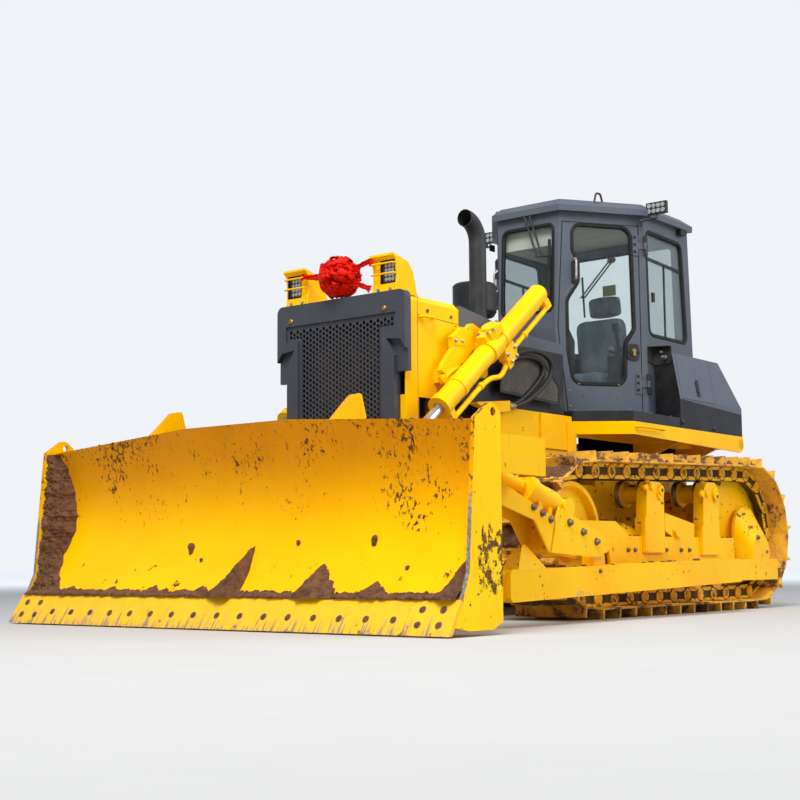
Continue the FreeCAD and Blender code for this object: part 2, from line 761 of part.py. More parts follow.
def make_track_frames():
    """A box over the rollers with side plates that hold their shafts, the idler's yoke,
    the carriers' posts and the trunnion."""
    low_y = TRACK_Y - n.frame_half
    high_y = TRACK_Y + n.frame_half
    front = n.idler_x - n.idler_r + 20
    rear = n.roller_first_x - 20
    shaft_z = RAIL_Z + n.play + n.roller_r
    parts = []
    section = [
        (low_y, n.frame_low),
        (high_y, n.frame_low),
        (high_y, n.frame_top - 60),
        ("arc", (high_y - 18, n.frame_top - 18), (high_y - 60, n.frame_top)),
        (low_y + 60, n.frame_top),
        ("arc", (low_y + 18, n.frame_top - 18), (low_y, n.frame_top - 60)),
    ]
    parts.append(extrude("frame_box", "YZ", [section], rear, front - rear))
    reach = n.idler_x + 90
    plate = [
        (rear - 180, shaft_z - 60),
        (front, shaft_z - 60),
        (front + 60, IDLER_Z - 90),
        (reach, IDLER_Z - 90),
        (reach, IDLER_Z + 90),
        (front - 40, IDLER_Z + 90),
        (front - 200, n.frame_top),
        (rear - 180, n.frame_top),
    ]
    for name, place in (("plate_in", low_y - n.frame_wall), ("plate_out", high_y)):
        parts.append(extrude(name, "XZ", [plate], place, "frame_wall"))
    inner = TRACK_Y - n.link_gap / 2 - n.link_thick
    outer = TRACK_Y + n.link_gap / 2 + n.link_thick
    parts.append(rod("idler_boss_in", (n.idler_x, 0, IDLER_Z), (0, 1, 0), 80, low_y, inner))
    parts.append(rod("idler_boss_out", (n.idler_x, 0, IDLER_Z), (0, 1, 0), 80, outer, high_y))
    parts.append(spring_cover(front))
    for index, x in enumerate(CARRIER_X):
        parts += carrier_post(index, x)
    parts += rear_frame_boxes(rear)
    parts.append(rod("trunnion_boss", (n.trunnion_x, 0, n.trunnion_z), (0, 1, 0), n.arm_end_r - 8,
                     high_y + n.frame_wall, n.arm_in - 12))
    parts.append(rod("trunnion_pin", (n.trunnion_x, 0, n.trunnion_z), (0, 1, 0), "trunnion_r",
                     high_y + n.frame_wall, n.arm_in + n.arm_width - 40))
    left = fuse("track_frame_left", parts)
    return piece("track_frames", both_sides("track_frames", left))


def half_round(half, low, centre_x, centre_z):
    """An upright outline whose top is half a circle."""
    return [
        (centre_x - half, low),
        (centre_x + half, low),
        (centre_x + half, centre_z),
        ("arc", (centre_x, centre_z + half), (centre_x - half, centre_z)),
    ]


def make_final_drives():
    """Drive housings between the hull and the sprocket and the domed outer bearing covers."""
    inner = turned("drive_case", [
        (n.hull_half, 0),
        (n.hull_half, 330),
        (TRACK_Y - 200, 330),
        (TRACK_Y - 150, 250),
        (TRACK_Y - 75, 190),
        (TRACK_Y - 75, 0),
    ], (n.sprocket_x, 0, HUB_Z), (0, 1, 0))
    low = 367.0
    start = TRACK_Y + 115
    hub = turned("drive_bearing", [
        (TRACK_Y + 75, 0),
        (TRACK_Y + 75, 150),
        (start, 190),
        (start, 0),
    ], (n.sprocket_x, 0, HUB_Z), (0, 1, 0))
    neck = extrude("cover_neck", "XZ", [half_round(200, low, n.sprocket_x, HUB_Z)], start, 20)
    cap = loft("cover_cap", [
        draw("cover_wide", "XZ", [half_round(200, low, n.sprocket_x, HUB_Z)], start + 20),
        draw("cover_small", "XZ", [half_round(143, low, n.sprocket_x - 22, low + 43)], n.cover_out),
    ])
    outer = fuse("drive_outer", [hub, neck, cap])
    left = group("final_drive_left", [inner, outer])
    return piece("final_drives", both_sides("final_drives", left))


# Main frame, engine and front end
def make_main_frame():
    """Two long beams with a belly plate in front of the closed rear case."""
    case_front = n.case_front
    parts = [
        extrude("rear_case", "XZ", [[
            (case_front, n.hull_low),
            (case_front, n.hull_top),
            (n.hull_rear + 120, n.hull_top),
            (n.hull_rear, n.hull_top - 160),
            (n.hull_rear, n.hull_low + 120),
            (n.hull_rear + 160, n.hull_low),
        ]], -n.hull_half, "2 * hull_half"),
    ]
    for side in (-1, 1):
        low = side * n.hull_half if side < 0 else n.hull_half - n.rail_width
        parts.append(block("long_beam_%d" % side, (case_front, low, n.hull_low + n.belly),
                           (n.hull_front, low + n.rail_width, n.rail_top)))
    parts.append(block("belly_plate", (case_front, -n.hull_half, n.hull_low),
                       (n.hull_front, n.hull_half, n.hull_low + n.belly)))
    parts.append(block("front_cross", (n.hull_front - 60, -n.hull_half, n.hull_low + n.belly),
                       (n.hull_front, n.hull_half, n.guard_low + 120)))
    return piece("main_frame", fuse("main_frame", parts))


def make_equaliser():
    """Cross bar that carries the front ends of the two track frames."""
    low = TRACK_Y - n.frame_half - n.frame_wall
    bar = extrude("equaliser_bar", "YZ", [[
        (-low, n.frame_top - 100),
        (-n.hull_half, n.hull_low - 110),
        (n.hull_half, n.hull_low - 110),
        (low, n.frame_top - 100),
        (low, n.frame_top),
        (low - 80, n.frame_top),
        (n.hull_half + 20, n.hull_low),
        (-n.hull_half - 20, n.hull_low),
        (-low + 80, n.frame_top),
        (-low, n.frame_top),
    ]], -420, 120)
    return piece("equaliser_bar", bar)


def make_engine():
    half = n.hull_half - n.rail_width
    return piece("engine_block", block("engine_block", (n.engine_rear, -half, n.hull_low + 160),
                                       (n.engine_front, half, n.engine_top)))


def mesh_outline():
    """The guard's opening: a band above a column."""
    low = n.guard_low + 60
    return [
        (-n.mesh_half, low),
        (n.mesh_half, low),
        (n.mesh_half, n.mesh_step),
        (n.mesh_band, n.mesh_step),
        (n.mesh_band, n.mesh_top),
        (-n.mesh_band, n.mesh_top),
        (-n.mesh_band, n.mesh_step),
        (-n.mesh_half, n.mesh_step),
    ]


def make_radiator_guard():
    """A T-shaped face whose upper part is wider, with side flanges behind its shoulders."""
    half = n.guard_half
    column = n.guard_column
    corner = n.guard_corner
    face = extrude("guard_face", "YZ", [
        smooth([
            (-column, n.guard_low, 0),
            (column, n.guard_low, 0),
            (column, n.guard_shoulder - 40, 0),
            (half, n.guard_shoulder, 0),
            (half, n.guard_top, corner),
            (-half, n.guard_top, corner),
            (-half, n.guard_shoulder, 0),
            (-column, n.guard_shoulder - 40, 0),
        ]),
        mesh_outline(),
    ], n.guard_x - n.guard_depth, "guard_depth")
    parts = [face]
    pockets = []
    for side in (1, -1):
        back = n.guard_x - n.guard_depth
        edge = sorted((side * (column - 10), side * half))
        parts.append(block("guard_flange_%d" % side, (back, edge[0], n.guard_flange),
                           (back + n.guard_depth / 2, edge[1], n.guard_shoulder + 10)))
        pockets.append(extrude("guard_pocket_%d" % side, "YZ", [[
            (side * (column - 62), n.guard_shoulder + 68),
            (side * (half - 38), n.guard_shoulder + 56),
            (side * (half + 1), n.guard_shoulder - 2),
            (side * (column + 8), n.guard_shoulder - 50),
        ]], n.guard_x - 35, 40))
    return piece("radiator_guard", cut("radiator_guard", fuse("guard_solid", parts), pockets))


def make_grille():
    return piece("grille", extrude("grille", "YZ", [mesh_outline()], n.guard_x - 22, 8))


def make_radiator_core():
    return piece("radiator_core", block("radiator_core", (n.hull_front, -n.core_half, n.guard_low),
                                        (n.hull_front + 86, n.core_half, n.core_top)))


def hood_section(half, low, top, corner, skin):
    """An upside-down channel of sheet."""
    outer = [(-half, low), (-half, top - corner), (-half + corner, top), (half - corner, top),
             (half, top - corner), (half, low)]
    inner = [(half - skin, low), (half - skin, top - corner - skin * 0.4),
             (half - corner - skin * 0.4, top - skin), (-half + corner + skin * 0.4, top - skin),
             (-half + skin, top - corner - skin * 0.4), (-half + skin, low)]
    return outer + inner


def make_hood():
    """The engine hood's front part and the cheeks of the radiator's frame below it."""
    front = n.guard_x - n.guard_depth
    shell = extrude("hood_shell", "YZ",
                    [hood_section(n.hood_half, n.hood_low, n.hood_top, 40, n.hood_skin)],
                    n.hood_rear, front - n.hood_rear)
    parts = [shell]
    for side in (1, -1):
        edge = sorted((side * (n.guard_column - 20), side * n.hood_half))
        parts.append(block("cheek_%d" % side, (n.hull_front, edge[0], n.guard_low),
                           (front, edge[1], n.hood_low + 5)))
    return piece("hood", fuse("hood", parts))


def rear_hood_solid(name, skin):
    """The rear hood's outside, or its hollow when moved in by the sheet's thickness."""
    front = n.hood_rear - 2 * skin
    low = cab_base()
    top = n.hood_top - 12 - skin
    over = 1 if skin else 0
    side = extrude(name + "_side", "XZ", [[
        (front, n.side_top - over),
        (front, top),
        (n.rear_hood_knee, n.rear_hood_knee_top - skin),
        (n.rear_hood_end - over, n.rear_hood_end_top - skin),
        (n.rear_hood_end - over, low - over),
        (n.rear_hood_taper, low - over),
        (n.rear_hood_taper, n.side_top - over),
    ]], -n.rear_hood_half - 10, 2 * n.rear_hood_half + 20)
    wide = n.rear_hood_half - skin
    narrow = n.rear_hood_end_half - skin
    plan = extrude(name + "_plan", "XY", [[
        (front, -wide),
        (front, wide),
        (n.rear_hood_taper, wide),
        (n.rear_hood_end - over, narrow),
        (n.rear_hood_end - over, -narrow),
        (n.rear_hood_taper, -wide),
    ]], low - 10, n.hood_top - low)
    return common(name, side, plan)


def make_rear_hood():
    """The black hood falls towards the cab and tapers in front of its doors."""
    top = n.hood_top
    tools = [
        rear_hood_solid("rear_hood_hollow", n.hood_skin),
        rod("exhaust_hole", (n.exhaust_x, n.exhaust_y, 0), (0, 0, 1), "exhaust_r + 6", top - 250, top + 10),
        rod("cleaner_hole", (n.cleaner_x, n.cleaner_y, 0), (0, 0, 1), "cleaner_stem + 6",
            top - 250, top + 10),
    ]
    return piece("rear_hood", cut("rear_hood", rear_hood_solid("rear_hood_outside", 0), tools))


def make_side_covers():
    """Black sheets beside the engine, between the yellow hood and the cab."""
    left = extrude("side_cover_left", "XZ", [[
        (n.side_front, n.side_low),
        (n.side_front, n.side_top),
        (n.rear_hood_taper, n.side_top),
        (n.rear_hood_taper, n.side_low),
    ]], n.rear_hood_half - n.hood_skin, "hood_skin")
    return piece("engine_side_covers", both_sides("engine_side_covers", left))


def make_side_skirts():
    """Yellow plates below the covers, folded in to the long beams."""
    skin = 8
    section = [
        (n.side_half, n.side_low),
        (n.hood_half - 5, n.side_low),
        (n.hood_half - 5, n.side_low - skin),
        (n.side_half - skin, n.side_low - skin),
        (n.side_half - skin, n.skirt_low + skin),
        (n.hull_half, n.rail_top + skin),
        (n.hull_half, n.rail_top - 20),
        (n.side_half, n.skirt_low),
    ]
    left = extrude("side_skirt_left", "YZ", [section], n.side_rear + n.hood_skin,
                   n.skirt_front - n.side_rear - n.hood_skin)
    return piece("side_skirts", both_sides("side_skirts", left))


def make_headlamps():
    """Hoods with a sloping back; each has a pocket for its lamp."""
    front = n.guard_x
    base = n.guard_top
    lamps = []
    lenses = []
    for side in (1, -1):
        low_y = n.lamp_in if side > 0 else -n.lamp_in - n.lamp_width
        hooded = extrude("lamp_hood_%d" % side, "XZ", [[
            (front - 215, n.hood_top),
            (front - n.guard_depth, n.hood_top),
            (front - n.guard_depth, base),
            (front - 9, base),
            (front - 19, base + 100),
            (front - 9, base + 190),
            (front + 20, base + 213),
            (front + 20, base + n.lamp_height),
            (front - 126, base + n.lamp_height - 36),
            (front - 175, base + n.lamp_height - 91),
        ]], low_y, "lamp_width")
        pocket_y = low_y + (60 if side > 0 else 12)
        pocket = block("lamp_pocket_%d" % side, (front - 80, pocket_y, base + 48),
                       (front + 1, pocket_y + 115, base + 192))
        lamps.append(cut("lamp_body_%d" % side, hooded, [pocket]))
        lenses.append(block("lamp_box_%d" % side, (front - 80, pocket_y + 12, base + 60),
                            (front - 32, pocket_y + 103, base + 180)))
    piece("headlamps", group("headlamps", lamps))
    return piece("lamp_lenses", group("lamp_lenses", lenses))


def make_ribbon_bow():
    """A gathered cloth flower tied between the lamps over the guard's top."""
    base = n.guard_top
    ball = turned("bow_ball", [
        (0, 0),
        (0, n.bow_r * 0.4),
        (n.bow_r * 0.3, n.bow_r * 0.75),
        (n.bow_r * 0.75, n.bow_r * 0.97),
        (n.bow_r * 1.1, n.bow_r),
        (n.bow_r * 1.55, n.bow_r * 0.8),
        (n.bow_r * 1.85, n.bow_r * 0.4),
        (n.bow_r * 1.9, 0),
    ], (n.bow_x, n.bow_y, base), (0, 0, 1))
    straps = []
    for side in (1, -1):
        end = side * n.lamp_in
        straps.append(extrude("bow_strap_%d" % side, "YZ", [[
            (n.bow_y, base + 140),
            (end, base + 185),
            (end, base + 150),
            (n.bow_y, base + 105),
        ]], n.bow_x - 3, 6))
    return piece("ribbon_bow", fuse("ribbon_bow", [ball] + straps))


def make_exhaust():
    base = n.engine_top
    x = n.exhaust_x
    y = n.exhaust_y
    bend = n.exhaust_bend
    reach = n.exhaust_reach
    path = Part.Wire([
        Part.LineSegment(V(x, y, base), V(x, y, bend)).toShape(),
        Part.Arc(V(x, y, bend), V(x + reach * 0.29, y, bend + reach * 0.71),
                 V(x + reach, y, bend + reach)).toShape(),
    ])
    outer = Part.Wire(Part.makeCircle(n.exhaust_r, V(x, y, base), V(0, 0, 1)))
    inner = Part.Wire(Part.makeCircle(n.exhaust_r - 4, V(x, y, base), V(0, 0, 1)))
    pipe = path.makePipeShell([outer], True, False).cut(path.makePipeShell([inner], True, False))
    stack = doc.addObject("Part::Feature", "exhaust")
    stack.Shape = pipe
    return piece("exhaust_pipe", stack)


def make_air_cleaner():
    low = n.hood_top + n.cleaner_rise
    high = low + n.cleaner_height
    can = turned("air_cleaner", [
        (n.engine_top, 0),
        (n.engine_top, n.cleaner_stem),
        (low, n.cleaner_stem),
        (low + 20, n.cleaner_r - 20),
        (low + 50, n.cleaner_r),
        (high - 15, n.cleaner_r),
        (high, n.cleaner_r - 15),
        (high, 0),
    ], (n.cleaner_x, n.cleaner_y, 0), (0, 0, 1))
    return piece("air_cleaner", can)


# Blade lift
LIFT_RUN = V(n.lift_eye_x - n.lift_pivot_x, 0, n.lift_eye_z - n.lift_pivot_z)
LIFT_DIR = V(LIFT_RUN).normalize()


def on_lift(distance):
    """A point on the left lift cylinder's axis, measured from its trunnion to the rod's eye."""
    return V(n.lift_pivot_x, n.lift_side, n.lift_pivot_z) + LIFT_DIR * distance


def make_lift_yokes():
    """Castings on the hood's sides with a pin for the lift barrel's clamp."""
    pin_x = n.lift_pivot_x
    pin_z = n.lift_pivot_z
    half = n.rear_hood_half
    plate = extrude("yoke_plate", "XZ", [smooth([
        (pin_x - 120, pin_z - 170, 40),
        (pin_x + 141, pin_z - 170, 0),
        (pin_x + 141, pin_z + 95, 0),
        (pin_x + 60, pin_z + 175, 50),
        (pin_x - 90, pin_z + 130, 60),
    ])], half, n.yoke_face - half)
    pin = rod("yoke_pin", (pin_x, 0, pin_z), (0, 1, 0), "yoke_pin_r", half, n.lift_side - n.lift_barrel_r - 8)
    front_half = n.hood_half
    arm_low = V(pin_x + 350, 0, pin_z - 185)
    arm_high = V(pin_x + 148, 0, pin_z + 102)
    run = arm_low - arm_high
    middle = V(0, n.yoke_face - 2, 0)
    arm = rod("yoke_arm", tuple(arm_high + middle), tuple(run), 26, 0, run.Length)
    flange = rod("yoke_flange", tuple(arm_high + middle), tuple(run), 28, -12, 24)
    foot = block("yoke_foot", (arm_low.x - 45, front_half, arm_low.z - 60),
                 (arm_low.x + 60, n.yoke_face + 10, arm_low.z + 20))
    shoulder = block("yoke_shoulder", (pin_x + 141, front_half, pin_z + 20),
                     (pin_x + 190, n.yoke_face, pin_z + 130))
    left = fuse("yoke_left", [plate, pin, arm, flange, foot, shoulder])
    return piece("lift_yokes", both_sides("lift_yokes", left))


def make_lift_barrel(label, mirrored):
    bore = n.lift_rod_r + n.play
    wide = n.lift_barrel_r
    tube = turned(label + "_tube", [
        (-n.lift_behind, 0),
        (-n.lift_behind, wide - 12),
        (-n.lift_behind + 25, wide),
        (n.lift_ahead - 60, wide),
        (n.lift_ahead - 60, wide + 8),
        (n.lift_ahead, wide + 8),
        (n.lift_ahead, bore),
        (-n.lift_behind + n.lift_end, bore),
        (-n.lift_behind + n.lift_end, 0),
    ], tuple(on_lift(0)), tuple(LIFT_DIR))
    clear = rod(label + "_bands_bore", tuple(on_lift(-200)), tuple(LIFT_DIR), wide - 1, 0, 700)
    bands = [
        rod(label + "_clamp", tuple(on_lift(-60)), tuple(LIFT_DIR), wide + 10, 0, 120),
        rod(label + "_band_rear", tuple(on_lift(-160)), tuple(LIFT_DIR), wide + 5, 0, 50),
        rod(label + "_band_front", tuple(on_lift(425)), tuple(LIFT_DIR), wide + 5, 0, 50),
    ]
    ring = cut(label + "_rings", fuse(label + "_bands", bands), [clear])
    upward = V(-LIFT_DIR.z, 0, LIFT_DIR.x)
    cap = doc.addObject("Part::Box", label + "_cap")
    cap.Length = 110
    cap.Width = 70
    cap.Height = 50
    cap.Placement = App.Placement(
        on_lift(-55) + upward * (wide - 4) - V(0, 35, 0), App.Rotation(V(1, 0, 0), LIFT_DIR))
    reach = n.lift_side - n.yoke_face - 6
    socket = rod(label + "_socket", (n.lift_pivot_x, n.lift_side, n.lift_pivot_z), (0, -1, 0), 50,
                 wide - 4, reach)
    pin_hole = rod(label + "_pin_hole", (n.lift_pivot_x, n.lift_side, n.lift_pivot_z), (0, -1, 0),
                   "yoke_pin_r + play", wide + 7, reach + 1)
    barrel = cut(label + "_left", fuse(label + "_parts", [tube, ring, cap, socket]), [pin_hole])
    if mirrored:
        barrel = other_side(label + "_right", barrel)
    return piece(label, barrel)


def make_lift_rod(label, mirrored):
    reach = LIFT_RUN.Length
    bar = rod(label + "_bar", tuple(on_lift(0)), tuple(LIFT_DIR), "lift_rod_r",
              n.lift_travel - n.lift_behind + n.lift_end + 10, reach - 50)
    eye = rod(label + "_eye", tuple(on_lift(reach)), (0, 1, 0), 60, -35, 35)
    left = fuse(label + "_left", [bar, eye])
    if mirrored:
        left = other_side(label + "_right", left)
    return piece(label, left)


# Blade
def blade_foot():
    """Where the curved face meets the cutting edge."""
    return V(n.blade_tip_x - n.edge_lean - 15, 0, n.edge_z + n.edge_height)


def face_x(height, behind=0.0):
    """The blade's curved face at a height: an arc through its foot, hollow and top edge."""
    foot = blade_foot()
    hollow = V(n.blade_hollow_x, 0, (n.blade_top + n.edge_height) / 2)
    top = V(n.blade_top_x, 0, n.blade_top)
    curve = Part.Arc(foot, hollow, top).toShape().Curve
    reach = curve.Radius + behind
    return curve.Center.x - math.sqrt(reach ** 2 - (height - curve.Center.z) ** 2)


def edge_back(height):
    """The rear face of the cutting edge at a height."""
    lean = n.edge_lean / n.edge_height
    return n.blade_tip_x - n.edge_thick * 1.1 - (height - n.edge_z) * lean


def blade_face(skin):
    """The blade's face plate in profile, with its rolled top and the heel above the edge."""
    foot = blade_foot()
    middle = (n.blade_top + foot.z) / 2
    back_top = n.blade_top - 75
    back_low = foot.z + 40
    rib = n.blade_top_x - 95
    heel = foot.x - 150
    return [
        (foot.x, foot.z),
        ("arc", (face_x(middle), middle), (n.blade_top_x, n.blade_top)),
        (rib, n.blade_top),
        (rib, back_top),
        (face_x(back_top, skin), back_top),
        ("arc", (face_x(middle, skin), middle), (face_x(back_low, skin), back_low)),
        (heel, back_low),
        (heel, foot.z - 40),
        (edge_back(foot.z - 90) - 40, foot.z - 90),
        (edge_back(foot.z - 90), foot.z - 90),
        (edge_back(foot.z - 12), foot.z - 12),
    ]


def blade_ears(side):
    """The ears behind the blade: in pairs for a lift rod, a push arm and a brace, and one fin."""
    foot = blade_foot()
    half_skin = n.blade_skin / 2
    low = foot.z + 40
    arm = n.arm_in + n.arm_width / 2
    ears = {
        "lift_ear": (n.lift_side, 38, 27, [
            (face_x(low, half_skin), low),
            ("arc", (face_x(550, half_skin), 550), (face_x(900, half_skin), 900)),
            (face_x(900, half_skin) - 50, 900),
            (n.lift_eye_x - 75, n.lift_eye_z + 70),
            (n.lift_eye_x - 75, n.lift_eye_z - 75),
            (n.lift_eye_x + 20, n.lift_eye_z - 90),
            (foot.x - 250, low),
        ]),
        "arm_ear": (arm, 75, 30, [
            (foot.x - 145, n.arm_front_z - 90),
            (foot.x - 145, n.arm_front_z + 6),
            (face_x(n.arm_front_z + 160, half_skin), n.arm_front_z + 160),
            (n.arm_front - 20, n.arm_front_z + 80),
            (n.arm_front - 20, n.arm_front_z - 80),
        ]),
        "brace_ear": (arm, n.brace_eye + 0.7, 22, [
            (face_x(n.brace_high_z - 110, half_skin), n.brace_high_z - 110),
            (face_x(n.brace_high_z + 90, half_skin), n.brace_high_z + 90),
            (n.brace_high_x - 20, n.brace_high_z + 60),
            ("arc", (n.brace_high_x - 65, n.brace_high_z), (n.brace_high_x - 20, n.brace_high_z - 60)),
        ]),
    }
    solids = []
    for name, (middle, half, thick, outline) in ears.items():
        for index, y in enumerate((middle - half - thick, middle + half)):
            base = y if side > 0 else -y - thick
            solids.append(extrude("%s_%d_%d" % (name, side, index), "XZ", [outline], base, thick))
    pin_y = side * (n.lift_side - 65)
    solids.append(rod("lift_pin_%d" % side, (n.lift_eye_x, pin_y, n.lift_eye_z), (0, side, 0),
                      26, -8, 27))
    fin_base = side * n.fin_y - n.fin_thick / 2
    solids.append(extrude("fin_%d" % side, "XZ", [smooth([
        (n.blade_top_x - 8, n.blade_top - 22, 0),
        (n.blade_top_x - 169, n.fin_top - 18, 30),
        (n.blade_top_x - 255, n.fin_top, 20),
        (n.blade_top_x - 295, n.fin_top - 128, 30),
        (n.blade_top_x - 295, n.blade_top - 145, 40),
        (face_x(n.blade_top - 145, half_skin), n.blade_top - 145, 0),
    ])], fin_base, "fin_thick"))
    return solids


def hose_box():
    """The sheet box behind the blade's left end that shields the tilt cylinder's head."""
    low = n.brace_high_z - 148
    high = n.brace_high_z + 55
    back = n.arm_nose - 40
    outer = n.arm_in + n.arm_width + 210
    inner = outer - 170
    skin = n.blade_skin / 2
    side = extrude("hose_box_side", "XZ", [[
        (back, low),
        (back, high),
        (face_x(high, skin), high),
        (face_x(low, skin), low),
    ]], outer - 12, 12)
    top = block("hose_box_top", (back, inner, high - 12), (face_x(high, skin), outer, high))
    rear = block("hose_box_rear", (back, inner, low), (back + 12, outer, high))
    return [side, top, rear]


def make_blade():
    foot = blade_foot()
    half = n.blade_half - n.end_plate
    plate = extrude("face_plate", "XZ", [blade_face(n.blade_skin)], -half, "2 * (blade_half - end_plate)")
    trims = []
    fall = n.blade_arch
    for side in (-1, 1):
        trims.append(extrude("top_trim_%d" % side, "YZ", [[
            (side * 0.25 * half, n.blade_top),
            (side * (half + 1), n.blade_top - fall),
            (side * (half + 1), n.blade_top + 50),
            (side * 0.25 * half, n.blade_top + 50),
        ]], n.blade_top_x - 500, 800))
    parts = [cut("face_trimmed", plate, trims)]
    for side in (-1, 1):
        low = half if side > 0 else -n.blade_half
        end = smooth([
            (edge_back(n.edge_z + 40), n.edge_z + 40, 0),
            (edge_back(foot.z - 12), foot.z - 12, 0),
            (foot.x, foot.z, 0),
            (foot.x - 56, foot.z + 125, 0),
            (n.blade_top_x + 24, n.blade_top - fall, 0),
            (n.ear_apex_x, n.ear_apex_z, 20),
            (n.ear_apex_x - 38, n.ear_apex_z, 25),
            (n.end_plate_rear, n.ear_apex_z - 44, 25),
            (n.end_plate_rear, n.edge_z + 60, 0),
            (n.end_plate_rear + 80, n.edge_z + 20, 0),
            (edge_back(n.edge_z + 40) - 120, n.edge_z + 20, 0),
        ])
        parts.append(extrude("end_plate_%d" % side, "XZ", [end, ("circle", n.eye_x, n.eye_z, n.eye_r)],
                             low, "end_plate"))
        parts += blade_ears(side)
    parts += hose_box()
    return piece("blade", fuse("blade", parts))


def make_cutting_edge():
    """Two edge plates with a joint in the middle and an end bit at each end."""
    lower = n.edge_z
    upper = n.edge_z + n.edge_height
    section = [
        (n.blade_tip_x, lower),
        (n.blade_tip_x - n.edge_lean, upper),
        (edge_back(upper - 12), upper - 12),
        (edge_back(lower), lower),
    ]
    bit = n.bit_width
    gap = 1.0
    half = n.blade_half
    spans = [(-half, -half + bit), (-half + bit + gap, -gap / 2), (gap / 2, half - bit - gap),
             (half - bit, half)]
    plates = []
    for index, (low, high) in enumerate(spans):
        plates.append(extrude("edge_%d" % index, "XZ", [section], low, high - low))
    return piece("cutting_edges", group("cutting_edges", plates))


def arm_top(x):
    """Height of a push arm's upper plate."""
    share = (n.arm_nose - x) / (n.arm_nose - n.trunnion_x)
    return n.arm_low + n.arm_depth + share * (n.trunnion_z + n.arm_end_r - n.arm_low - n.arm_depth)


def make_push_arms():
    """Box beams from the trunnions to the blade's feet, each with a lug for its brace."""
    middle = n.arm_in + n.arm_width / 2
    beam = extrude("arm_beam", "XZ", [[
        (n.trunnion_x, n.trunnion_z - n.arm_end_r),
        (n.arm_nose - 30, n.arm_low),
        ("arc", (n.arm_nose - 9, n.arm_low + 9), (n.arm_nose, n.arm_low + 30)),
        (n.arm_nose, n.arm_low + n.arm_depth - 30),
        ("arc", (n.arm_nose - 9, n.arm_low + n.arm_depth - 9), (n.arm_nose - 30, n.arm_low + n.arm_depth)),
        (n.trunnion_x, n.trunnion_z + n.arm_end_r),
        ("arc", (n.trunnion_x - n.arm_end_r, n.trunnion_z), (n.trunnion_x, n.trunnion_z - n.arm_end_r)),
    ]], n.arm_in, "arm_width")
    knuckle = rod("arm_knuckle", (n.arm_front, 0, n.arm_front_z), (0, 1, 0), "knuckle_big",
                  middle - 74.7, middle + 74.7)
    neck = extrude("arm_neck", "XZ", [[
        (n.arm_nose - 5, n.arm_low + 8),
        (n.arm_front, n.arm_front_z - n.knuckle_big + 12),
        (n.arm_front, n.arm_front_z + n.knuckle_big - 12),
        (n.arm_nose - 5, n.arm_low + n.arm_depth - 8),
    ]], middle - n.arm_neck / 2, "arm_neck")
    gusset = loft("arm_gusset", [
        draw("gusset_low", "XY", [[(1258, middle - 65), (1557, middle - 65),
                                   (1557, middle + 75), (1258, middle + 75)]], arm_top(1258) - 12),
        draw("gusset_high", "XY", [[(1385, middle - 12), (1425, middle - 12),
                                    (1425, middle + 12), (1385, middle + 12)]], arm_top(1258) + 130),
    ])
    lug = extrude("arm_lug", "XZ", [[
        (n.brace_low_x - 70, arm_top(n.brace_low_x) - 10),
        (n.brace_low_x + 70, arm_top(n.brace_low_x) - 10),
        (n.brace_low_x + 55, n.brace_low_z),
        ("arc", (n.brace_low_x, n.brace_low_z + 55), (n.brace_low_x - 55, n.brace_low_z)),
    ]], middle - n.brace_eye, "2 * brace_eye")
    socket = rod("arm_bore", (n.trunnion_x, 0, n.trunnion_z), (0, 1, 0), "trunnion_r + play",
                 n.arm_in - 1, n.arm_in + n.arm_width - 35)
    left = cut("push_arm_left", fuse("push_arm_solid", [beam, knuckle, neck, gusset, lug]), [socket])
    return piece("push_arms", both_sides("push_arms", left))


def brace_ends(side):
    """Pins of the brace between a push arm and the blade's upper back."""
    middle = side * (n.arm_in + n.arm_width / 2)
    return V(n.brace_low_x, middle, n.brace_low_z), V(n.brace_high_x, middle, n.brace_high_z)


def make_tilt_cylinder():
    """Hydraulic brace behind the blade's left half; its barrel stands on the guard's saddles."""
    pin, high = brace_ends(1)
    low = V(n.tilt_low_x, high.y, n.tilt_low_z)
    run = high - low
    way = V(run).normalize()
    tube = turned("tilt_tube", [
        (60, 0),
        (60, 50),
        (90, 70),
        (330, 70),
        (330, 85),
        (405, 85),
        (405, 36),
        (run.Length - 30, 36),
        (run.Length - 30, 0),
    ], tuple(low), tuple(way))
    eye = rod("tilt_eye_low", tuple(low), (0, 1, 0), 55, -n.link_inner + 0.3, n.link_inner - 0.3)
    stem = rod("tilt_stem", tuple(low), tuple(way), 50, 0, 70)
    head = rod("tilt_eye_high", tuple(high), (0, 1, 0), 60, -n.brace_eye, n.brace_eye)
    return piece("tilt_cylinder", fuse("tilt_cylinder", [tube, eye, stem, head]))


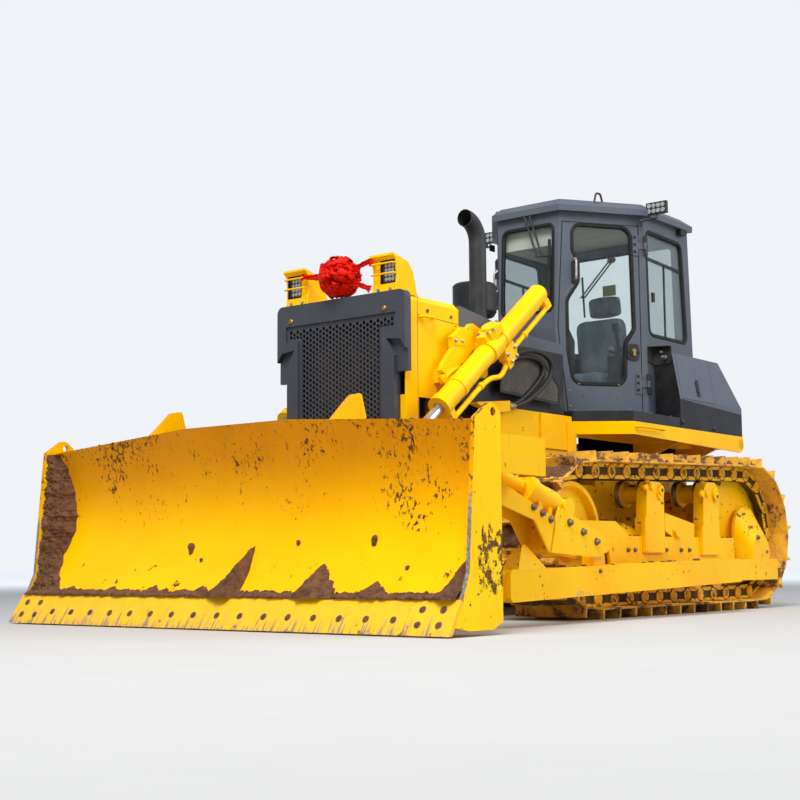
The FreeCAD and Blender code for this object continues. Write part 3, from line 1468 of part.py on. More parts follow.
def make_brace_link():
    """Fork between the left arm's lug and the tilt cylinder, and the guard below its barrel."""
    middle = n.arm_in + n.arm_width / 2
    low_x = n.brace_low_x
    low_z = n.brace_low_z
    parts = []
    for side in (1, -1):
        inner = middle + side * n.link_inner
        start = min(inner, inner + side * n.link_plate)
        parts.append(extrude("link_plate_%d" % side, "XZ", [[
            (low_x, low_z - 47),
            ("arc", (low_x - 48, low_z), (low_x - 6, low_z + 46)),
            (low_x + 500, low_z + 213),
            (low_x + 532, low_z + 157),
            (low_x + 592, low_z - 48),
            (low_x + 95, low_z - 75),
        ]], start, "link_plate"))
        guard = [
            (low_x + 610, low_z - 48),
            (low_x + 550, low_z + 150),
            (low_x + 1210, low_z + 374),
            (low_x + 1210, low_z + 290),
            (low_x + 1068, low_z + 205),
            (low_x + 761, low_z + 132),
            (low_x + 625, low_z - 36),
        ]
        parts.append(extrude("guard_plate_%d" % side, "XZ", [guard], start, "link_plate"))
        boss = sorted((middle + side * (n.brace_eye + 0.3), inner))
        parts.append(rod("link_boss_%d" % side, (low_x, 0, low_z), (0, 1, 0), 45, boss[0], boss[1]))
    start = middle - n.link_inner
    width = 2 * n.link_inner
    parts.append(extrude("guard_top", "XZ", [[
        (low_x + 550, low_z + 138),
        (low_x + 550, low_z + 150),
        (low_x + 1210, low_z + 374),
        (low_x + 1210, low_z + 362),
    ]], start, width))
    parts.append(extrude("guard_end", "XZ", [[
        (low_x + 608, low_z - 42),
        (low_x + 552, low_z + 142),
        (low_x + 566, low_z + 146),
        (low_x + 622, low_z - 36),
    ]], start, width))
    parts.append(extrude("link_web", "XZ", [[
        (low_x + 560, low_z - 46),
        (low_x + 500, low_z + 150),
        (low_x + 512, low_z + 154),
        (low_x + 572, low_z - 42),
    ]], start, width))
    parts.append(extrude("link_joint", "XZ", [[
        (low_x + 566, low_z - 10),
        (low_x + 540, low_z + 80),
        (low_x + 590, low_z + 80),
        (low_x + 616, low_z - 10),
    ]], start + 20, width - 40))
    way = V(n.brace_high_x - n.tilt_low_x, 0, n.brace_high_z - n.tilt_low_z).normalize()
    base = V(n.tilt_low_x, middle, n.tilt_low_z)
    barrel = rod("saddle_bore", tuple(base), tuple(way), 70, 100, 600)
    saddles = []
    for index, along in enumerate((180, 285)):
        spot = base + way * along
        saddles.append(block("saddle_%d" % index, (spot.x - 20, middle - 50, spot.z - 110),
                             (spot.x + 20, middle + 50, spot.z - 40)))
    below = extrude("saddle_trim", "XZ", [[
        (low_x + 400, low_z - 200),
        (low_x + 400, low_z + 95),
        (low_x + 550, low_z + 145),
        (low_x + 1210, low_z + 369),
        (low_x + 1210, low_z - 200),
    ]], middle - 60, 120)
    parts.append(cut("saddles", fuse("saddle_blocks", saddles), [barrel, below]))
    return piece("brace_link", fuse("brace_link", parts))


def make_right_brace():
    """A screw brace; its fork straddles the right arm's lug."""
    low, high = brace_ends(-1)
    run = high - low
    way = V(run).normalize()
    stem = rod("brace_screw", tuple(low), tuple(way), 34, 140, run.Length - 30)
    sleeve = turned("brace_sleeve", [
        (150, 0),
        (150, 62),
        (620, 62),
        (640, 50),
        (700, 50),
        (700, 0),
    ], tuple(low), tuple(way))
    eye = rod("brace_eye_low", tuple(low), (0, 1, 0), 55, -n.link_inner - n.link_plate,
              n.link_inner + n.link_plate)
    throat = rod("brace_throat", tuple(low), tuple(way), 62, 0, 160)
    slot = block("brace_slot", (low.x - 100, low.y - n.brace_eye - 0.3, low.z - 140),
                 (low.x + 100, low.y + n.brace_eye + 0.3, low.z + 140))
    fork = cut("brace_fork", fuse("brace_fork_solid", [eye, throat]), [slot])
    head = rod("brace_eye_high", tuple(high), (0, 1, 0), 60, -n.brace_eye, n.brace_eye)
    return piece("blade_brace", fuse("blade_brace", [stem, sleeve, fork, head]))


# Cab
def cab_base():
    return n.fender_z + n.sill


def cab_at(height):
    """Front and rear walls of the cab at a height: the front wall has a knee."""
    base = cab_base()
    if height <= n.knee_z:
        share = (height - base) / (n.knee_z - base)
        front = n.cab_front + share * (n.knee_front - n.cab_front)
    else:
        share = (height - n.knee_z) / (n.cab_top - n.knee_z)
        front = n.knee_front + share * (n.cab_front_top - n.knee_front)
    fall = (height - base) / (n.cab_top - base)
    return front, n.cab_rear + fall * (n.cab_rear_top - n.cab_rear)


def cab_outline(height, grow=0.0, tail=0.0):
    """The cab's six-sided plan at a height, moved out by a distance, and short of its rear by the tail."""
    front, rear = cab_at(height)
    rear += tail
    front_half = n.cab_half - (front - n.cab_side_x) * n.door_slope
    corners = [
        (front, -front_half),
        (front, front_half),
        (n.cab_side_x, n.cab_half),
        (rear, n.cab_half),
        (rear, -n.cab_half),
        (n.cab_side_x, -n.cab_half),
    ]
    points = []
    count = len(corners)
    for index in range(count):
        before = V(*corners[index - 1], 0)
        here = V(*corners[index], 0)
        after = V(*corners[(index + 1) % count], 0)
        one = V(here - before).normalize()
        two = V(after - here).normalize()
        out_one = V(one.y, -one.x, 0)
        out_two = V(two.y, -two.x, 0)
        half = V(out_one + out_two).normalize()
        spot = here + half * (grow / half.dot(out_one))
        points.append((spot.x, spot.y))
    return points


def cab_solid(name, low, high, grow):
    """The cab's body between two heights, moved out by a distance."""
    sections = []
    for height in (low, n.knee_z, high):
        sections.append(draw("%s_%d" % (name, height), "XY", [cab_outline(height, grow)], height))
    return loft(name, sections)


def door_frame():
    """The left door's hinge corner, its direction towards the front and its outward normal."""
    hinge = V(n.cab_side_x, n.cab_half, 0)
    along = V(1, -n.door_slope, 0).normalize()
    return hinge, along, V(-along.y, along.x, 0)


def door_reach(height):
    """Length of the door's wall at a height."""
    return (cab_at(height)[0] - n.cab_side_x) * math.sqrt(1 + n.door_slope ** 2)


def door_sheet(name, loops, inner, thick):
    """Outlines in the left door's plane given a thickness outwards from the wall's face."""
    hinge, along, outward = door_frame()
    turn = App.Rotation(V(1, 0, 0), along).multiply(App.Rotation(V(1, 0, 0), 90))
    sketch = doc.addObject("Sketcher::SketchObject", name + "_outline")
    sketch.Placement = App.Placement(hinge + outward * inner, turn)
    for loop in loops:
        draw_loop(sketch, loop)
    solid = doc.addObject("Part::Extrusion", name)
    solid.Base = sketch
    solid.DirMode = "Custom"
    solid.Dir = outward
    solid.Solid = True
    solid.FaceMakerClass = "Part::FaceMakerBullseye"
    solid.LengthFwd = thick
    return solid


def door_outline(gap):
    """The doorway, or the door when moved in by its gap."""
    low = cab_base() + n.door_low + gap
    high = n.cab_top - n.door_head - gap
    edge = n.door_edge + gap
    front = n.door_front_edge + gap
    return [
        (edge, low),
        (door_reach(low) - front, low),
        (door_reach(n.knee_z) - front, n.knee_z),
        (door_reach(high) - front, high),
        (edge, high),
    ]


def door_window():
    """The door's window, which is narrower below the middle hinge side."""
    top = n.cab_top - 90
    return smooth([
        (590, top, 70),
        (590, top - 200, 60),
        (545, top - 280, 60),
        (545, top - 430, 60),
        (640, top - 570, 90),
        (640, top - 940, 200),
        (600, top - 1190, 80),
        (185, top - 1190, 80),
        (172, top - 875, 50),
        (100, top - 770, 60),
        (112, top, 90),
    ])


def side_window():
    return smooth([
        (n.cab_side_x - 25, n.cab_top - 100, 60),
        (n.cab_side_x - 45, n.knee_z - 20, 60),
        (n.cab_rear + 115, n.knee_z - 20, 60),
        (n.cab_rear_top + 112, n.cab_top - 112, 60),
    ])


def end_window(half, low):
    return smooth([
        (-half, low, 50),
        (half, low, 50),
        (half, n.cab_top - 85, 50),
        (-half, n.cab_top - 85, 50),
    ])


def window_prisms(name):
    """Bodies that pass through the cab's walls where its fixed windows are."""
    front_low = n.knee_z + 125
    side = extrude(name + "_side", "XZ", [side_window()], n.cab_half - 60, 120)
    return [
        side,
        other_side(name + "_other", side),
        extrude(name + "_front", "YZ", [end_window(n.rear_hood_end_half - 5, front_low)],
                n.cab_front - 80, 200),
        extrude(name + "_rear", "YZ", [end_window(n.cab_half - 125, n.knee_z - 20)],
                n.cab_rear - 60, 240),
    ]


def make_cab_shell():
    base = cab_base()
    walls = cut("cab_walls", cab_solid("cab_outside", base, n.cab_top, 0),
                [cab_solid("cab_inside", base + n.cab_floor, n.cab_top + 1, -n.cab_wall)])
    doorway = door_sheet("doorway", [door_outline(0)], -n.cab_wall * 1.6, n.cab_wall * 1.6 + 30)
    holes = [doorway, other_side("doorway_mirrored", doorway)] + window_prisms("window_way")
    return piece("cab_shell", cut("cab_shell", walls, holes))


def make_cab_windows():
    """Panes in the middle of the walls."""
    inner = (n.cab_wall + n.glass) / 2
    side = extrude("side_pane", "XZ", [side_window()], n.cab_half - inner, "glass")
    panes = [side, other_side("side_pane_right", side)]
    low = n.knee_z - 100
    prisms = window_prisms("pane_way")[2:]
    for index, (name, way) in enumerate((("front_pane", -1), ("rear_pane", 1))):
        shift = -inner if way < 0 else inner - n.glass
        wall = [cab_at(height)[index] + shift for height in (low, n.knee_z, n.cab_top)]
        slab = extrude(name + "_slab", "XZ", [[
            (wall[0], low),
            (wall[1], n.knee_z),
            (wall[2], n.cab_top),
            (wall[2] + n.glass, n.cab_top),
            (wall[1] + n.glass, n.knee_z),
            (wall[0] + n.glass, low),
        ]], -n.cab_half, "2 * cab_half")
        panes.append(common(name, slab, prisms[index]))
    return piece("cab_windows", group("cab_windows", panes))


def hinge_axis():
    """The left door's hinge line stands off the corner of the cab."""
    hinge, along, outward = door_frame()
    return hinge + outward * n.hinge_off


def make_hinge_fixed():
    """Leaves on the cab's rear quarter with the outer knuckles and the pins."""
    spot = hinge_axis()
    half = n.hinge_half
    inner = n.knuckle_half + 1
    sets = []
    for index, height in enumerate((n.hinge_low_z, n.hinge_high_z)):
        place = (spot.x, spot.y, height)
        name = "hinge_fixed_%d" % index
        parts = [rod(name + "_pin", place, (0, 0, 1), "hinge_pin_r", -half, half)]
        for low, high in ((-half, -inner), (inner, half)):
            parts.append(rod("%s_knuckle_%d" % (name, low), place, (0, 0, 1), "knuckle_r", low, high))
            parts.append(block("%s_leaf_%d" % (name, low), (n.cab_side_x - 39, n.cab_half, height + low),
                               (spot.x, n.cab_half + n.hinge_leaf, height + high)))
        parts.append(block(name + "_plate", (n.cab_side_x - 39, n.cab_half, height - half),
                           (n.cab_side_x - 20, n.cab_half + n.hinge_leaf, height + half)))
        sets.append(fuse(name, parts))
    return group("hinges_left", sets)


def make_door_hinges():
    return piece("door_hinges", both_sides("door_hinges", make_hinge_fixed()))


def make_doors():
    """Door leaves with their windows cut, and the moving half of each hinge."""
    spot = hinge_axis()
    half = n.knuckle_half
    edge = n.door_edge + n.door_gap
    wide = n.hinge_leaf + 1
    leaf = door_sheet("door_leaf", [door_outline(n.door_gap), door_window()], -n.cab_wall, n.cab_wall)
    parts = [leaf]
    bores = []
    for index, height in enumerate((n.hinge_low_z, n.hinge_high_z)):
        place = (spot.x, spot.y, height)
        name = "hinge_door_%d" % index
        parts.append(rod(name + "_knuckle", place, (0, 0, 1), "knuckle_r", -half, half))
        straps = (("reach", 0, edge + 46, half, 1), ("strap", edge, edge + 46, n.hinge_half, 0))
        for part, start, end, tall, inner in straps:
            parts.append(door_sheet("%s_%s" % (name, part), [[
                (start, height - tall),
                (end, height - tall),
                (end, height + tall),
                (start, height + tall),
            ]], inner, wide - inner))
        bores.append(rod(name + "_bore", place, (0, 0, 1), "hinge_pin_r + play", -half - 1, half + 1))
    shaped = cut("door_shape", fuse("door_parts", parts), bores)
    pane = door_sheet("door_pane", [door_window()], -n.cab_wall / 2 - n.glass / 2, n.glass)
    piece("door_left", shaped)
    piece("door_glass_left", pane)
    piece("door_right", other_side("door_right_side", shaped))
    piece("door_glass_right", other_side("door_glass_right_side", pane))


def make_roof():
    """A shallow cap: an upright rim, a bevel and a flat top."""
    rim = (n.roof_top - n.cab_top) * 0.45
    wide = cab_outline(n.cab_top, n.roof_over, n.roof_tail)
    narrow = cab_outline(n.cab_top, n.roof_over - n.roof_bevel, n.roof_tail)
    lower = extrude("roof_rim", "XY", [wide], n.cab_top, rim)
    cap = loft("roof_cap", [
        draw("roof_bevel_low", "XY", [wide], n.cab_top + rim),
        draw("roof_bevel_high", "XY", [narrow], n.roof_top),
    ])
    return piece("cab_roof", fuse("cab_roof", [lower, cap]))


def make_seat():
    floor = cab_base() + n.cab_floor
    x = n.seat_x
    parts = [
        block("seat_base", (x - 180, -170, floor), (x + 150, 170, floor + 250)),
        block("seat_cushion", (x - 230, -240, floor + 250), (x + 240, 240, floor + 370)),
        extrude("seat_back", "XZ", [[
            (x - 230, floor + 370),
            (x - 110, floor + 370),
            (x - 180, floor + 880),
            (x - 290, floor + 880),
        ]], -230, 460),
        extrude("head_rest", "XZ", [[
            (x - 200, floor + 900),
            (x - 195, floor + 880),
            (x - 275, floor + 880),
            (x - 290, floor + 1060),
            (x - 220, floor + 1060),
        ]], -140, 280),
    ]
    return piece("operator_seat", fuse("operator_seat", parts))


def make_console():
    """The dashboard at the front wall, an arm console at each side of the seat and the levers."""
    floor = cab_base() + n.cab_floor
    front = n.cab_front - n.cab_wall
    parts = [extrude("dash", "XZ", [[
        (front - 170, floor),
        (front - 210, floor + 560),
        (front - 120, floor + 660),
        (front - 2, floor + 660),
        (front - 2, floor),
    ]], -225, 450)]
    for side in (1, -1):
        edge = sorted((side * 290, side * 400))
        parts.append(block("arm_console_%d" % side, (n.seat_x - 160, edge[0], floor),
                           (n.seat_x + 240, edge[1], floor + 480)))
        foot = (n.seat_x + 140, side * 345, floor + 470)
        lean = (0.25, 0, 1)
        parts.append(rod("lever_%d" % side, foot, lean, 14, 0, 200))
        parts.append(rod("lever_knob_%d" % side, foot, lean, 26, 200, 275))
    return piece("console", group("console", [parts[0]] + [
        fuse("arm_side_%d" % k, parts[1 + 3 * k:4 + 3 * k]) for k in (0, 1)]))


# Fenders, boxes and tank
def fender_plan(side):
    """A fender's plan from the hull out to its edge, flared behind the engine cover."""
    return [
        (n.side_rear, side * (n.side_half + 8)),
        (n.fender_corner_x, side * n.fender_half),
        (n.fender_rear, side * n.fender_half),
        (n.fender_rear, side * n.hull_half),
        (n.side_rear, side * n.hull_half),
    ]


def make_fenders():
    """Yellow fender decks: a deep beam round the edge under a deck plate, on legs."""
    wall = n.fender_plate
    deck = extrude("fender_deck", "XY", [fender_plan(1)], n.fender_z - wall, "fender_plate")
    inner = [
        (n.side_rear - wall, n.side_half + 8 - wall * 0.5),
        (n.fender_corner_x - wall, n.fender_half - wall),
        (n.fender_rear + wall, n.fender_half - wall),
        (n.fender_rear + wall, n.hull_half + wall),
        (n.side_rear - wall, n.hull_half + wall),
    ]
    rim = extrude("fender_rim", "XY", [fender_plan(1), inner], n.fender_z - n.fender_beam,
                  n.fender_beam - wall)
    low = n.fender_z - n.fender_beam
    side = extrude("fender_side", "XZ", [[
        (n.fender_corner_x, low),
        (n.fender_corner_x - 900, n.fender_low_rear + 17),
        (n.fender_rear + 50, n.fender_low_rear),
        (n.fender_rear, n.fender_low_rear + 30),
        (n.fender_rear, low + 5),
        (n.fender_corner_x, low + 5),
    ]], n.fender_half - wall, "fender_plate")
    leg = extrude("fender_leg", "XZ", [smooth([
        (n.side_rear + 90, n.fender_leg, 0),
        (n.side_rear + 95, n.fender_z - wall, 0),
        (n.side_rear - 60, n.fender_z - wall, 0),
        (n.side_rear - 60, low, 0),
        (n.side_rear - 20, low, 40),
        (n.side_rear - 11, n.fender_leg, 0),
    ])], n.side_half, 22)
    front_plate = extrude("fender_front_plate", "XZ", [[
        (n.side_rear + 90, n.skirt_low + 160),
        (n.side_rear + 415, n.skirt_low + 160),
        (n.side_rear + 415, n.fender_z + 27),
        (n.side_rear + 90, n.fender_z + 27),
    ]], n.side_half, n.fender_plate)
    parts = [deck, rim, side, leg, front_plate]
    for index, x in enumerate((n.fender_corner_x - 811, n.fender_rear + 254)):
        parts.append(extrude("fender_strut_%d" % index, "YZ", [[
            (n.hull_half, n.hull_top - 20),
            (n.hull_half, n.hull_top - 80),
            (n.fender_half - 60, low),
            (n.hull_half, low),
        ]], x, 30))
    left = fuse("fender_left", parts)
    return piece("fenders", both_sides("fenders", left))


def make_sills():
    """Black sill that carries the cab and runs round the fender's edge."""
    plan = [
        (n.side_rear - 10, n.side_half),
        (n.fender_corner_x - 5, n.fender_half - 8),
        (n.box_front + 1, n.fender_half - 8),
        (n.box_front + 1, n.cab_half + 12),
        (n.cab_rear, n.cab_half + 12),
        (n.cab_rear, n.hull_half),
        (n.side_rear - 10, n.hull_half),
    ]
    ring = extrude("sill_left_plate", "XY", [plan], n.fender_z, "sill")
    return piece("cab_sills", both_sides("cab_sills", ring))


def box_shape(name, shrink):
    """The outside of a left side box, or its hollow when moved in by the sheet's thickness."""
    inner = n.cab_half + n.box_clear + shrink
    outer = n.fender_half - 4 - shrink
    front = n.box_front - shrink
    rear = n.fender_rear + shrink
    lower = [(front, inner), (front, outer), (rear, outer), (rear, inner)]
    upper = [(front, inner), (front, outer - n.lid_slope), (rear + n.box_rear_slope, outer - n.lid_slope),
             (rear + n.box_rear_slope, inner)]
    base = extrude(name + "_base", "XY", [lower], n.fender_z + shrink, n.box_lid_z - n.fender_z - shrink)
    cap = doc.addObject("Part::Loft", name + "_cap")
    cap.Sections = [
        draw(name + "_low", "XY", [lower], n.box_lid_z),
        draw(name + "_high", "XY", [upper], n.box_top - shrink),
    ]
    cap.Solid = True
    cap.Ruled = True
    return fuse(name, [base, cap])


def lid_prism(name, grow, low):
    """The stretch of the box that the lid covers: its outer slope and top, not its inner wall."""
    wall = n.box_wall
    inner = n.cab_half + n.box_clear
    section = [
        (inner - 5, n.box_top - wall - grow),
        (n.fender_half - 4 - n.lid_slope - 2 * wall - grow, n.box_top - wall - grow),
        (n.fender_half - 4 - wall * 1.5 - grow, low),
        (n.fender_half + 30, low),
        (n.fender_half + 30, n.box_top + 30),
        (inner - 5, n.box_top + 30),
    ]
    return extrude(name, "YZ", [section], n.lid_rear - grow, n.box_front - 40 - n.lid_rear + 2 * grow)


LID_HINGES = (-1540.0, -1830.0)


def lid_hinge():
    """The left lid's hinge line, above the box's inner top edge."""
    return n.cab_half + n.box_clear + 7, n.box_top + 7


def make_side_boxes():
    """Black sheet boxes on the fenders beside the cab; a lid covers the front two thirds."""
    shell = cut("side_box_shell", box_shape("box_outside", 0), [box_shape("box_inside", n.box_wall)])
    parts = [cut("side_box_open", shell, [lid_prism("lid_way", 0, n.box_lid_z)])]
    hinge_y, hinge_z = lid_hinge()
    for index, x in enumerate(LID_HINGES):
        for end in (-1, 1):
            name = "box_knuckle_%d_%d" % (index, end)
            low = x + end * 40 - 15
            parts.append(rod(name, (low, hinge_y, hinge_z), (1, 0, 0), 7, 0, 30))
            parts.append(block(name + "_foot", (low, hinge_y - 7, n.box_top - 14),
                               (low + 30, hinge_y - 3, hinge_z)))
        parts.append(rod("box_pin_%d" % index, (x, hinge_y, hinge_z), (1, 0, 0), "lid_pin_r", -55, 55))
    left = fuse("side_box_left", parts)
    return piece("side_boxes", both_sides("side_boxes", left))


def make_box_lids():
    whole = cut("lid_shell", box_shape("lid_outside", 0), [box_shape("lid_inside", n.box_wall)])
    lid = doc.addObject("Part::Common", "lid_left")
    lid.Base = whole
    lid.Tool = lid_prism("lid_part", -n.lid_gap, n.box_lid_z + n.lid_gap)
    hinge_y, hinge_z = lid_hinge()
    parts = [lid]
    clears = []
    for index, x in enumerate(LID_HINGES):
        name = "lid_knuckle_%d" % index
        parts.append(rod(name, (x, hinge_y, hinge_z), (1, 0, 0), 7, -n.lid_knuckle, n.lid_knuckle))
        parts.append(block(name + "_foot", (x - n.lid_knuckle, hinge_y, n.box_top - 2),
                           (x + n.lid_knuckle, hinge_y + 7, hinge_z)))
        clears.append(rod(name + "_bore", (x, hinge_y, hinge_z), (1, 0, 0), "lid_pin_r + play", -60, 60))
        for end in (-1, 1):
            low = x + end * 40 - 15
            clears.append(block(name + "_notch_%d" % end, (low - 2, hinge_y - 12, n.box_top - 20),
                                (low + 32, hinge_y + 9, n.box_top + 1)))
    whole = cut("lid_left_hinged", fuse("lid_left_parts", parts), clears)
    piece("box_lid_left", whole)
    piece("box_lid_right", other_side("lid_right", whole))


def make_tank():
    tank = extrude("tank_body", "XZ", [[
        (n.cab_rear - 30, n.hull_top),
        (n.cab_rear - 30, n.tank_top),
        (n.tank_rear + 60, n.tank_top),
        (n.tank_rear, n.tank_top - 60),
        (n.tank_rear, n.hull_top + 40),
        (n.tank_rear + 40, n.hull_top),
    ]], -n.hull_half, "2 * hull_half")
    cap = rod("tank_cap", (n.cab_rear - 200, -150, n.tank_top), (0, 0, 1), "tank_hole", 0, 40)
    return piece("rear_tank", fuse("rear_tank", [tank, cap]))


def make_drawbar():
    """Two plates behind the rear case with a hole for the towing pin."""
    low = n.draw_low
    plates = []
    for index, z in enumerate((low, low + 110)):
        outline = [
            (n.hull_rear, -150),
            (n.drawbar_x + 70, -80),
            ("arc", (n.drawbar_x, 0), (n.drawbar_x + 70, 80)),
            (n.hull_rear, 150),
        ]
        hole = ("circle", n.drawbar_x + 90, 0, n.draw_hole_r)
        plates.append(extrude("draw_plate_%d" % index, "XY", [outline, hole], z, 45))
    back = block("draw_back", (n.hull_rear - 40, -150, low), (n.hull_rear, 150, low + 155))
    return piece("drawbar", fuse("drawbar", plates + [back]))


make_main_frame()
make_equaliser()
make_engine()
make_radiator_guard()
make_grille()
make_radiator_core()
make_hood()
make_rear_hood()
make_side_covers()
make_side_skirts()
make_headlamps()
make_ribbon_bow()
make_exhaust()
make_air_cleaner()
make_lift_yokes()
for label, mirrored in (("left", False), ("right", True)):
    make_lift_barrel("lift_barrel_" + label, mirrored)
    make_lift_rod("lift_rod_" + label, mirrored)
make_blade()
make_cutting_edge()
make_push_arms()
make_tilt_cylinder()
make_brace_link()
make_right_brace()
make_cab_shell()
make_cab_windows()
make_door_hinges()
make_doors()
make_roof()
make_seat()
make_console()
make_fenders()
make_sills()
make_side_boxes()
make_box_lids()
make_tank()
make_drawbar()
make_tracks()
make_chains()
make_sprockets()
make_idlers()
make_bottom_rollers()
make_carrier_rollers()
make_track_frames()
make_final_drives()

doc.recompute()

# Check every object and write the sub-parts
for thing in doc.Objects:
    if "Invalid" in thing.State or "Error" in thing.State:
        raise RuntimeError("%s did not rebuild: %s" % (thing.Name, thing.State))
os.makedirs("parts", exist_ok=True)
for thing in PIECES:
    shape = thing.Shape
    if shape.isNull() or not shape.isValid() or not shape.Solids:
        raise RuntimeError("%s has no valid solid" % thing.Label)
    shape.exportStep("parts/%s.step" % thing.Label)
    box = shape.BoundBox
    print("%-20s %2d solids  x %6.0f %6.0f  y %6.0f %6.0f  z %6.0f %6.0f" % (
        thing.Label, len(shape.Solids), box.XMin, box.XMax, box.YMin, box.YMax, box.ZMin, box.ZMax))
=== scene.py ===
import bmesh
import bpy
import math
import random
from mathutils import Matrix, Vector, noise


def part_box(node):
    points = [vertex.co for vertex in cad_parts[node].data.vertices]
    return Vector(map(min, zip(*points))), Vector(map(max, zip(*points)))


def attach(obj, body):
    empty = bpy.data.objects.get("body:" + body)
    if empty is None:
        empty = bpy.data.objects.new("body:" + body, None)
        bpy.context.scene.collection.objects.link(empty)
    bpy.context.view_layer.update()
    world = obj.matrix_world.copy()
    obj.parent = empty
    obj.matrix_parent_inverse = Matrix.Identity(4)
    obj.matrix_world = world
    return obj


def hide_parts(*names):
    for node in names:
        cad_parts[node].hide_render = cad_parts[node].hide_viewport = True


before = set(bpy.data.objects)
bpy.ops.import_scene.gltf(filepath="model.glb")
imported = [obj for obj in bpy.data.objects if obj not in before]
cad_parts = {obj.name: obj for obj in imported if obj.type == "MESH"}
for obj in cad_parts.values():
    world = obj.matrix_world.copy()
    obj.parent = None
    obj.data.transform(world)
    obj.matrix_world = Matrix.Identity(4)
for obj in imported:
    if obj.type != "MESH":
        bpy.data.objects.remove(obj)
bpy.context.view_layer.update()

# Looks and small parts of the bulldozer. Lengths are given in millimetres, as in the part's
# drawing, and each mesh is scaled to metres when it is finished.
MM = 0.001
SIDES = (1, -1)


def point(x, y, z):
    return Vector((x, y, z))


# Camera, at the photograph's viewing angle
CAMERA_SPOT = Vector((7.997, 5.708, 0.359))
YAW, PITCH, ROLL = math.radians(38.52), math.radians(6.56), math.radians(-0.42)
LENS = 63.55


def make_camera():
    ahead = Vector((-math.cos(YAW) * math.cos(PITCH), -math.sin(YAW) * math.cos(PITCH), math.sin(PITCH)))
    level = Vector((-math.sin(YAW), math.cos(YAW), 0))
    above = level.cross(ahead)
    right = level * math.cos(ROLL) + above * math.sin(ROLL)
    up = above * math.cos(ROLL) - level * math.sin(ROLL)
    data = bpy.data.cameras.new("camera")
    data.lens = LENS
    data.sensor_width = 36
    data.clip_end = 200
    camera = bpy.data.objects.new("camera", data)
    camera.matrix_world = Matrix.Translation(CAMERA_SPOT) @ Matrix((right, up, -ahead)).transposed().to_4x4()
    bpy.context.scene.collection.objects.link(camera)
    bpy.context.scene.camera = camera


make_camera()


# Materials
class Shade:
    """A shader socket; sums and products of it add Math nodes."""

    def __init__(self, paint, socket):
        self.paint = paint
        self.socket = socket

    def math(self, operation, first, second):
        return self.paint.node("ShaderNodeMath", {"operation": operation}, {0: first, 1: second})

    def __add__(self, other):
        return self.math("ADD", self, other)

    def __radd__(self, other):
        return self.math("ADD", other, self)

    def __sub__(self, other):
        return self.math("SUBTRACT", self, other)

    def __rsub__(self, other):
        return self.math("SUBTRACT", other, self)

    def __mul__(self, other):
        return self.math("MULTIPLY", self, other)

    def __rmul__(self, other):
        return self.math("MULTIPLY", other, self)

    def between(self, low, high):
        """0 below the first value, 1 above the second, and smooth between them."""
        return self.paint.node("ShaderNodeMapRange", {"interpolation_type": "SMOOTHSTEP"},
                               {0: self, 1: low, 2: high, 3: 0.0, 4: 1.0})


class Paint:
    """One material built from nodes, in the frame's own coordinates."""

    def __init__(self, name):
        self.material = bpy.data.materials.new(name)
        self.material.use_nodes = True
        self.tree = self.material.node_tree
        self.tree.nodes.clear()
        self.here = self.node("ShaderNodeTexCoord", out="Object")

    def node(self, kind, settings=None, inputs=None, out=0):
        made = self.tree.nodes.new(kind)
        for key, value in (settings or {}).items():
            setattr(made, key, value)
        for key, value in (inputs or {}).items():
            if isinstance(value, Shade):
                self.tree.links.new(value.socket, made.inputs[key])
            else:
                made.inputs[key].default_value = value
        return Shade(self, made.outputs[out])

    def noise(self, scale, detail=5.0, stretch=(1, 1, 1), rough=0.55):
        where = self.node("ShaderNodeVectorMath", {"operation": "MULTIPLY"}, {0: self.here, 1: stretch})
        return self.node("ShaderNodeTexNoise", {},
                         {"Vector": where, "Scale": scale, "Detail": detail, "Roughness": rough})

    def axis(self, name):
        return self.node("ShaderNodeSeparateXYZ", {}, {0: self.here}, out=name)

    def facing(self, name):
        """How far the surface faces along an axis, -1 to 1."""
        normal = self.node("ShaderNodeNewGeometry", out="Normal")
        return self.node("ShaderNodeSeparateXYZ", {}, {0: normal}, out=name)

    def mix(self, share, under, over):
        return self.node("ShaderNodeMix", {"data_type": "RGBA"}, {0: share, 6: under, 7: over}, out=2)

    def bump(self, height, depth, strength=1.0):
        return self.node("ShaderNodeBump", {}, {"Height": height, "Distance": depth, "Strength": strength})


def output_node(paint, shader):
    made = paint.tree.nodes.new("ShaderNodeOutputMaterial")
    paint.tree.links.new(shader.socket, made.inputs["Surface"])


def tone(red, green, blue):
    """A colour as it looks on screen, 0 to 255, as the shader wants it."""
    parts = []
    for value in (red, green, blue):
        share = value / 255
        parts.append(share / 12.92 if share <= 0.04045 else ((share + 0.055) / 1.055) ** 2.4)
    return (*parts, 1.0)


def finish_paint(paint, **sockets):
    shader = paint.node("ShaderNodeBsdfPrincipled", {},
                        {key.replace("_", " "): value for key, value in sockets.items()})
    output_node(paint, shader)
    return paint.material


SOIL = tone(134, 90, 56)
SOIL_DARK = tone(74, 46, 28)
DUST = tone(190, 146, 84)
YELLOW = tone(255, 199, 0)
YELLOW_DEEP = tone(252, 184, 0)
LIT_YELLOW = tone(255, 192, 0)
GLINT = tone(255, 206, 70)
DIRT = tone(100, 70, 44)
DIRT_PALE = tone(152, 110, 68)


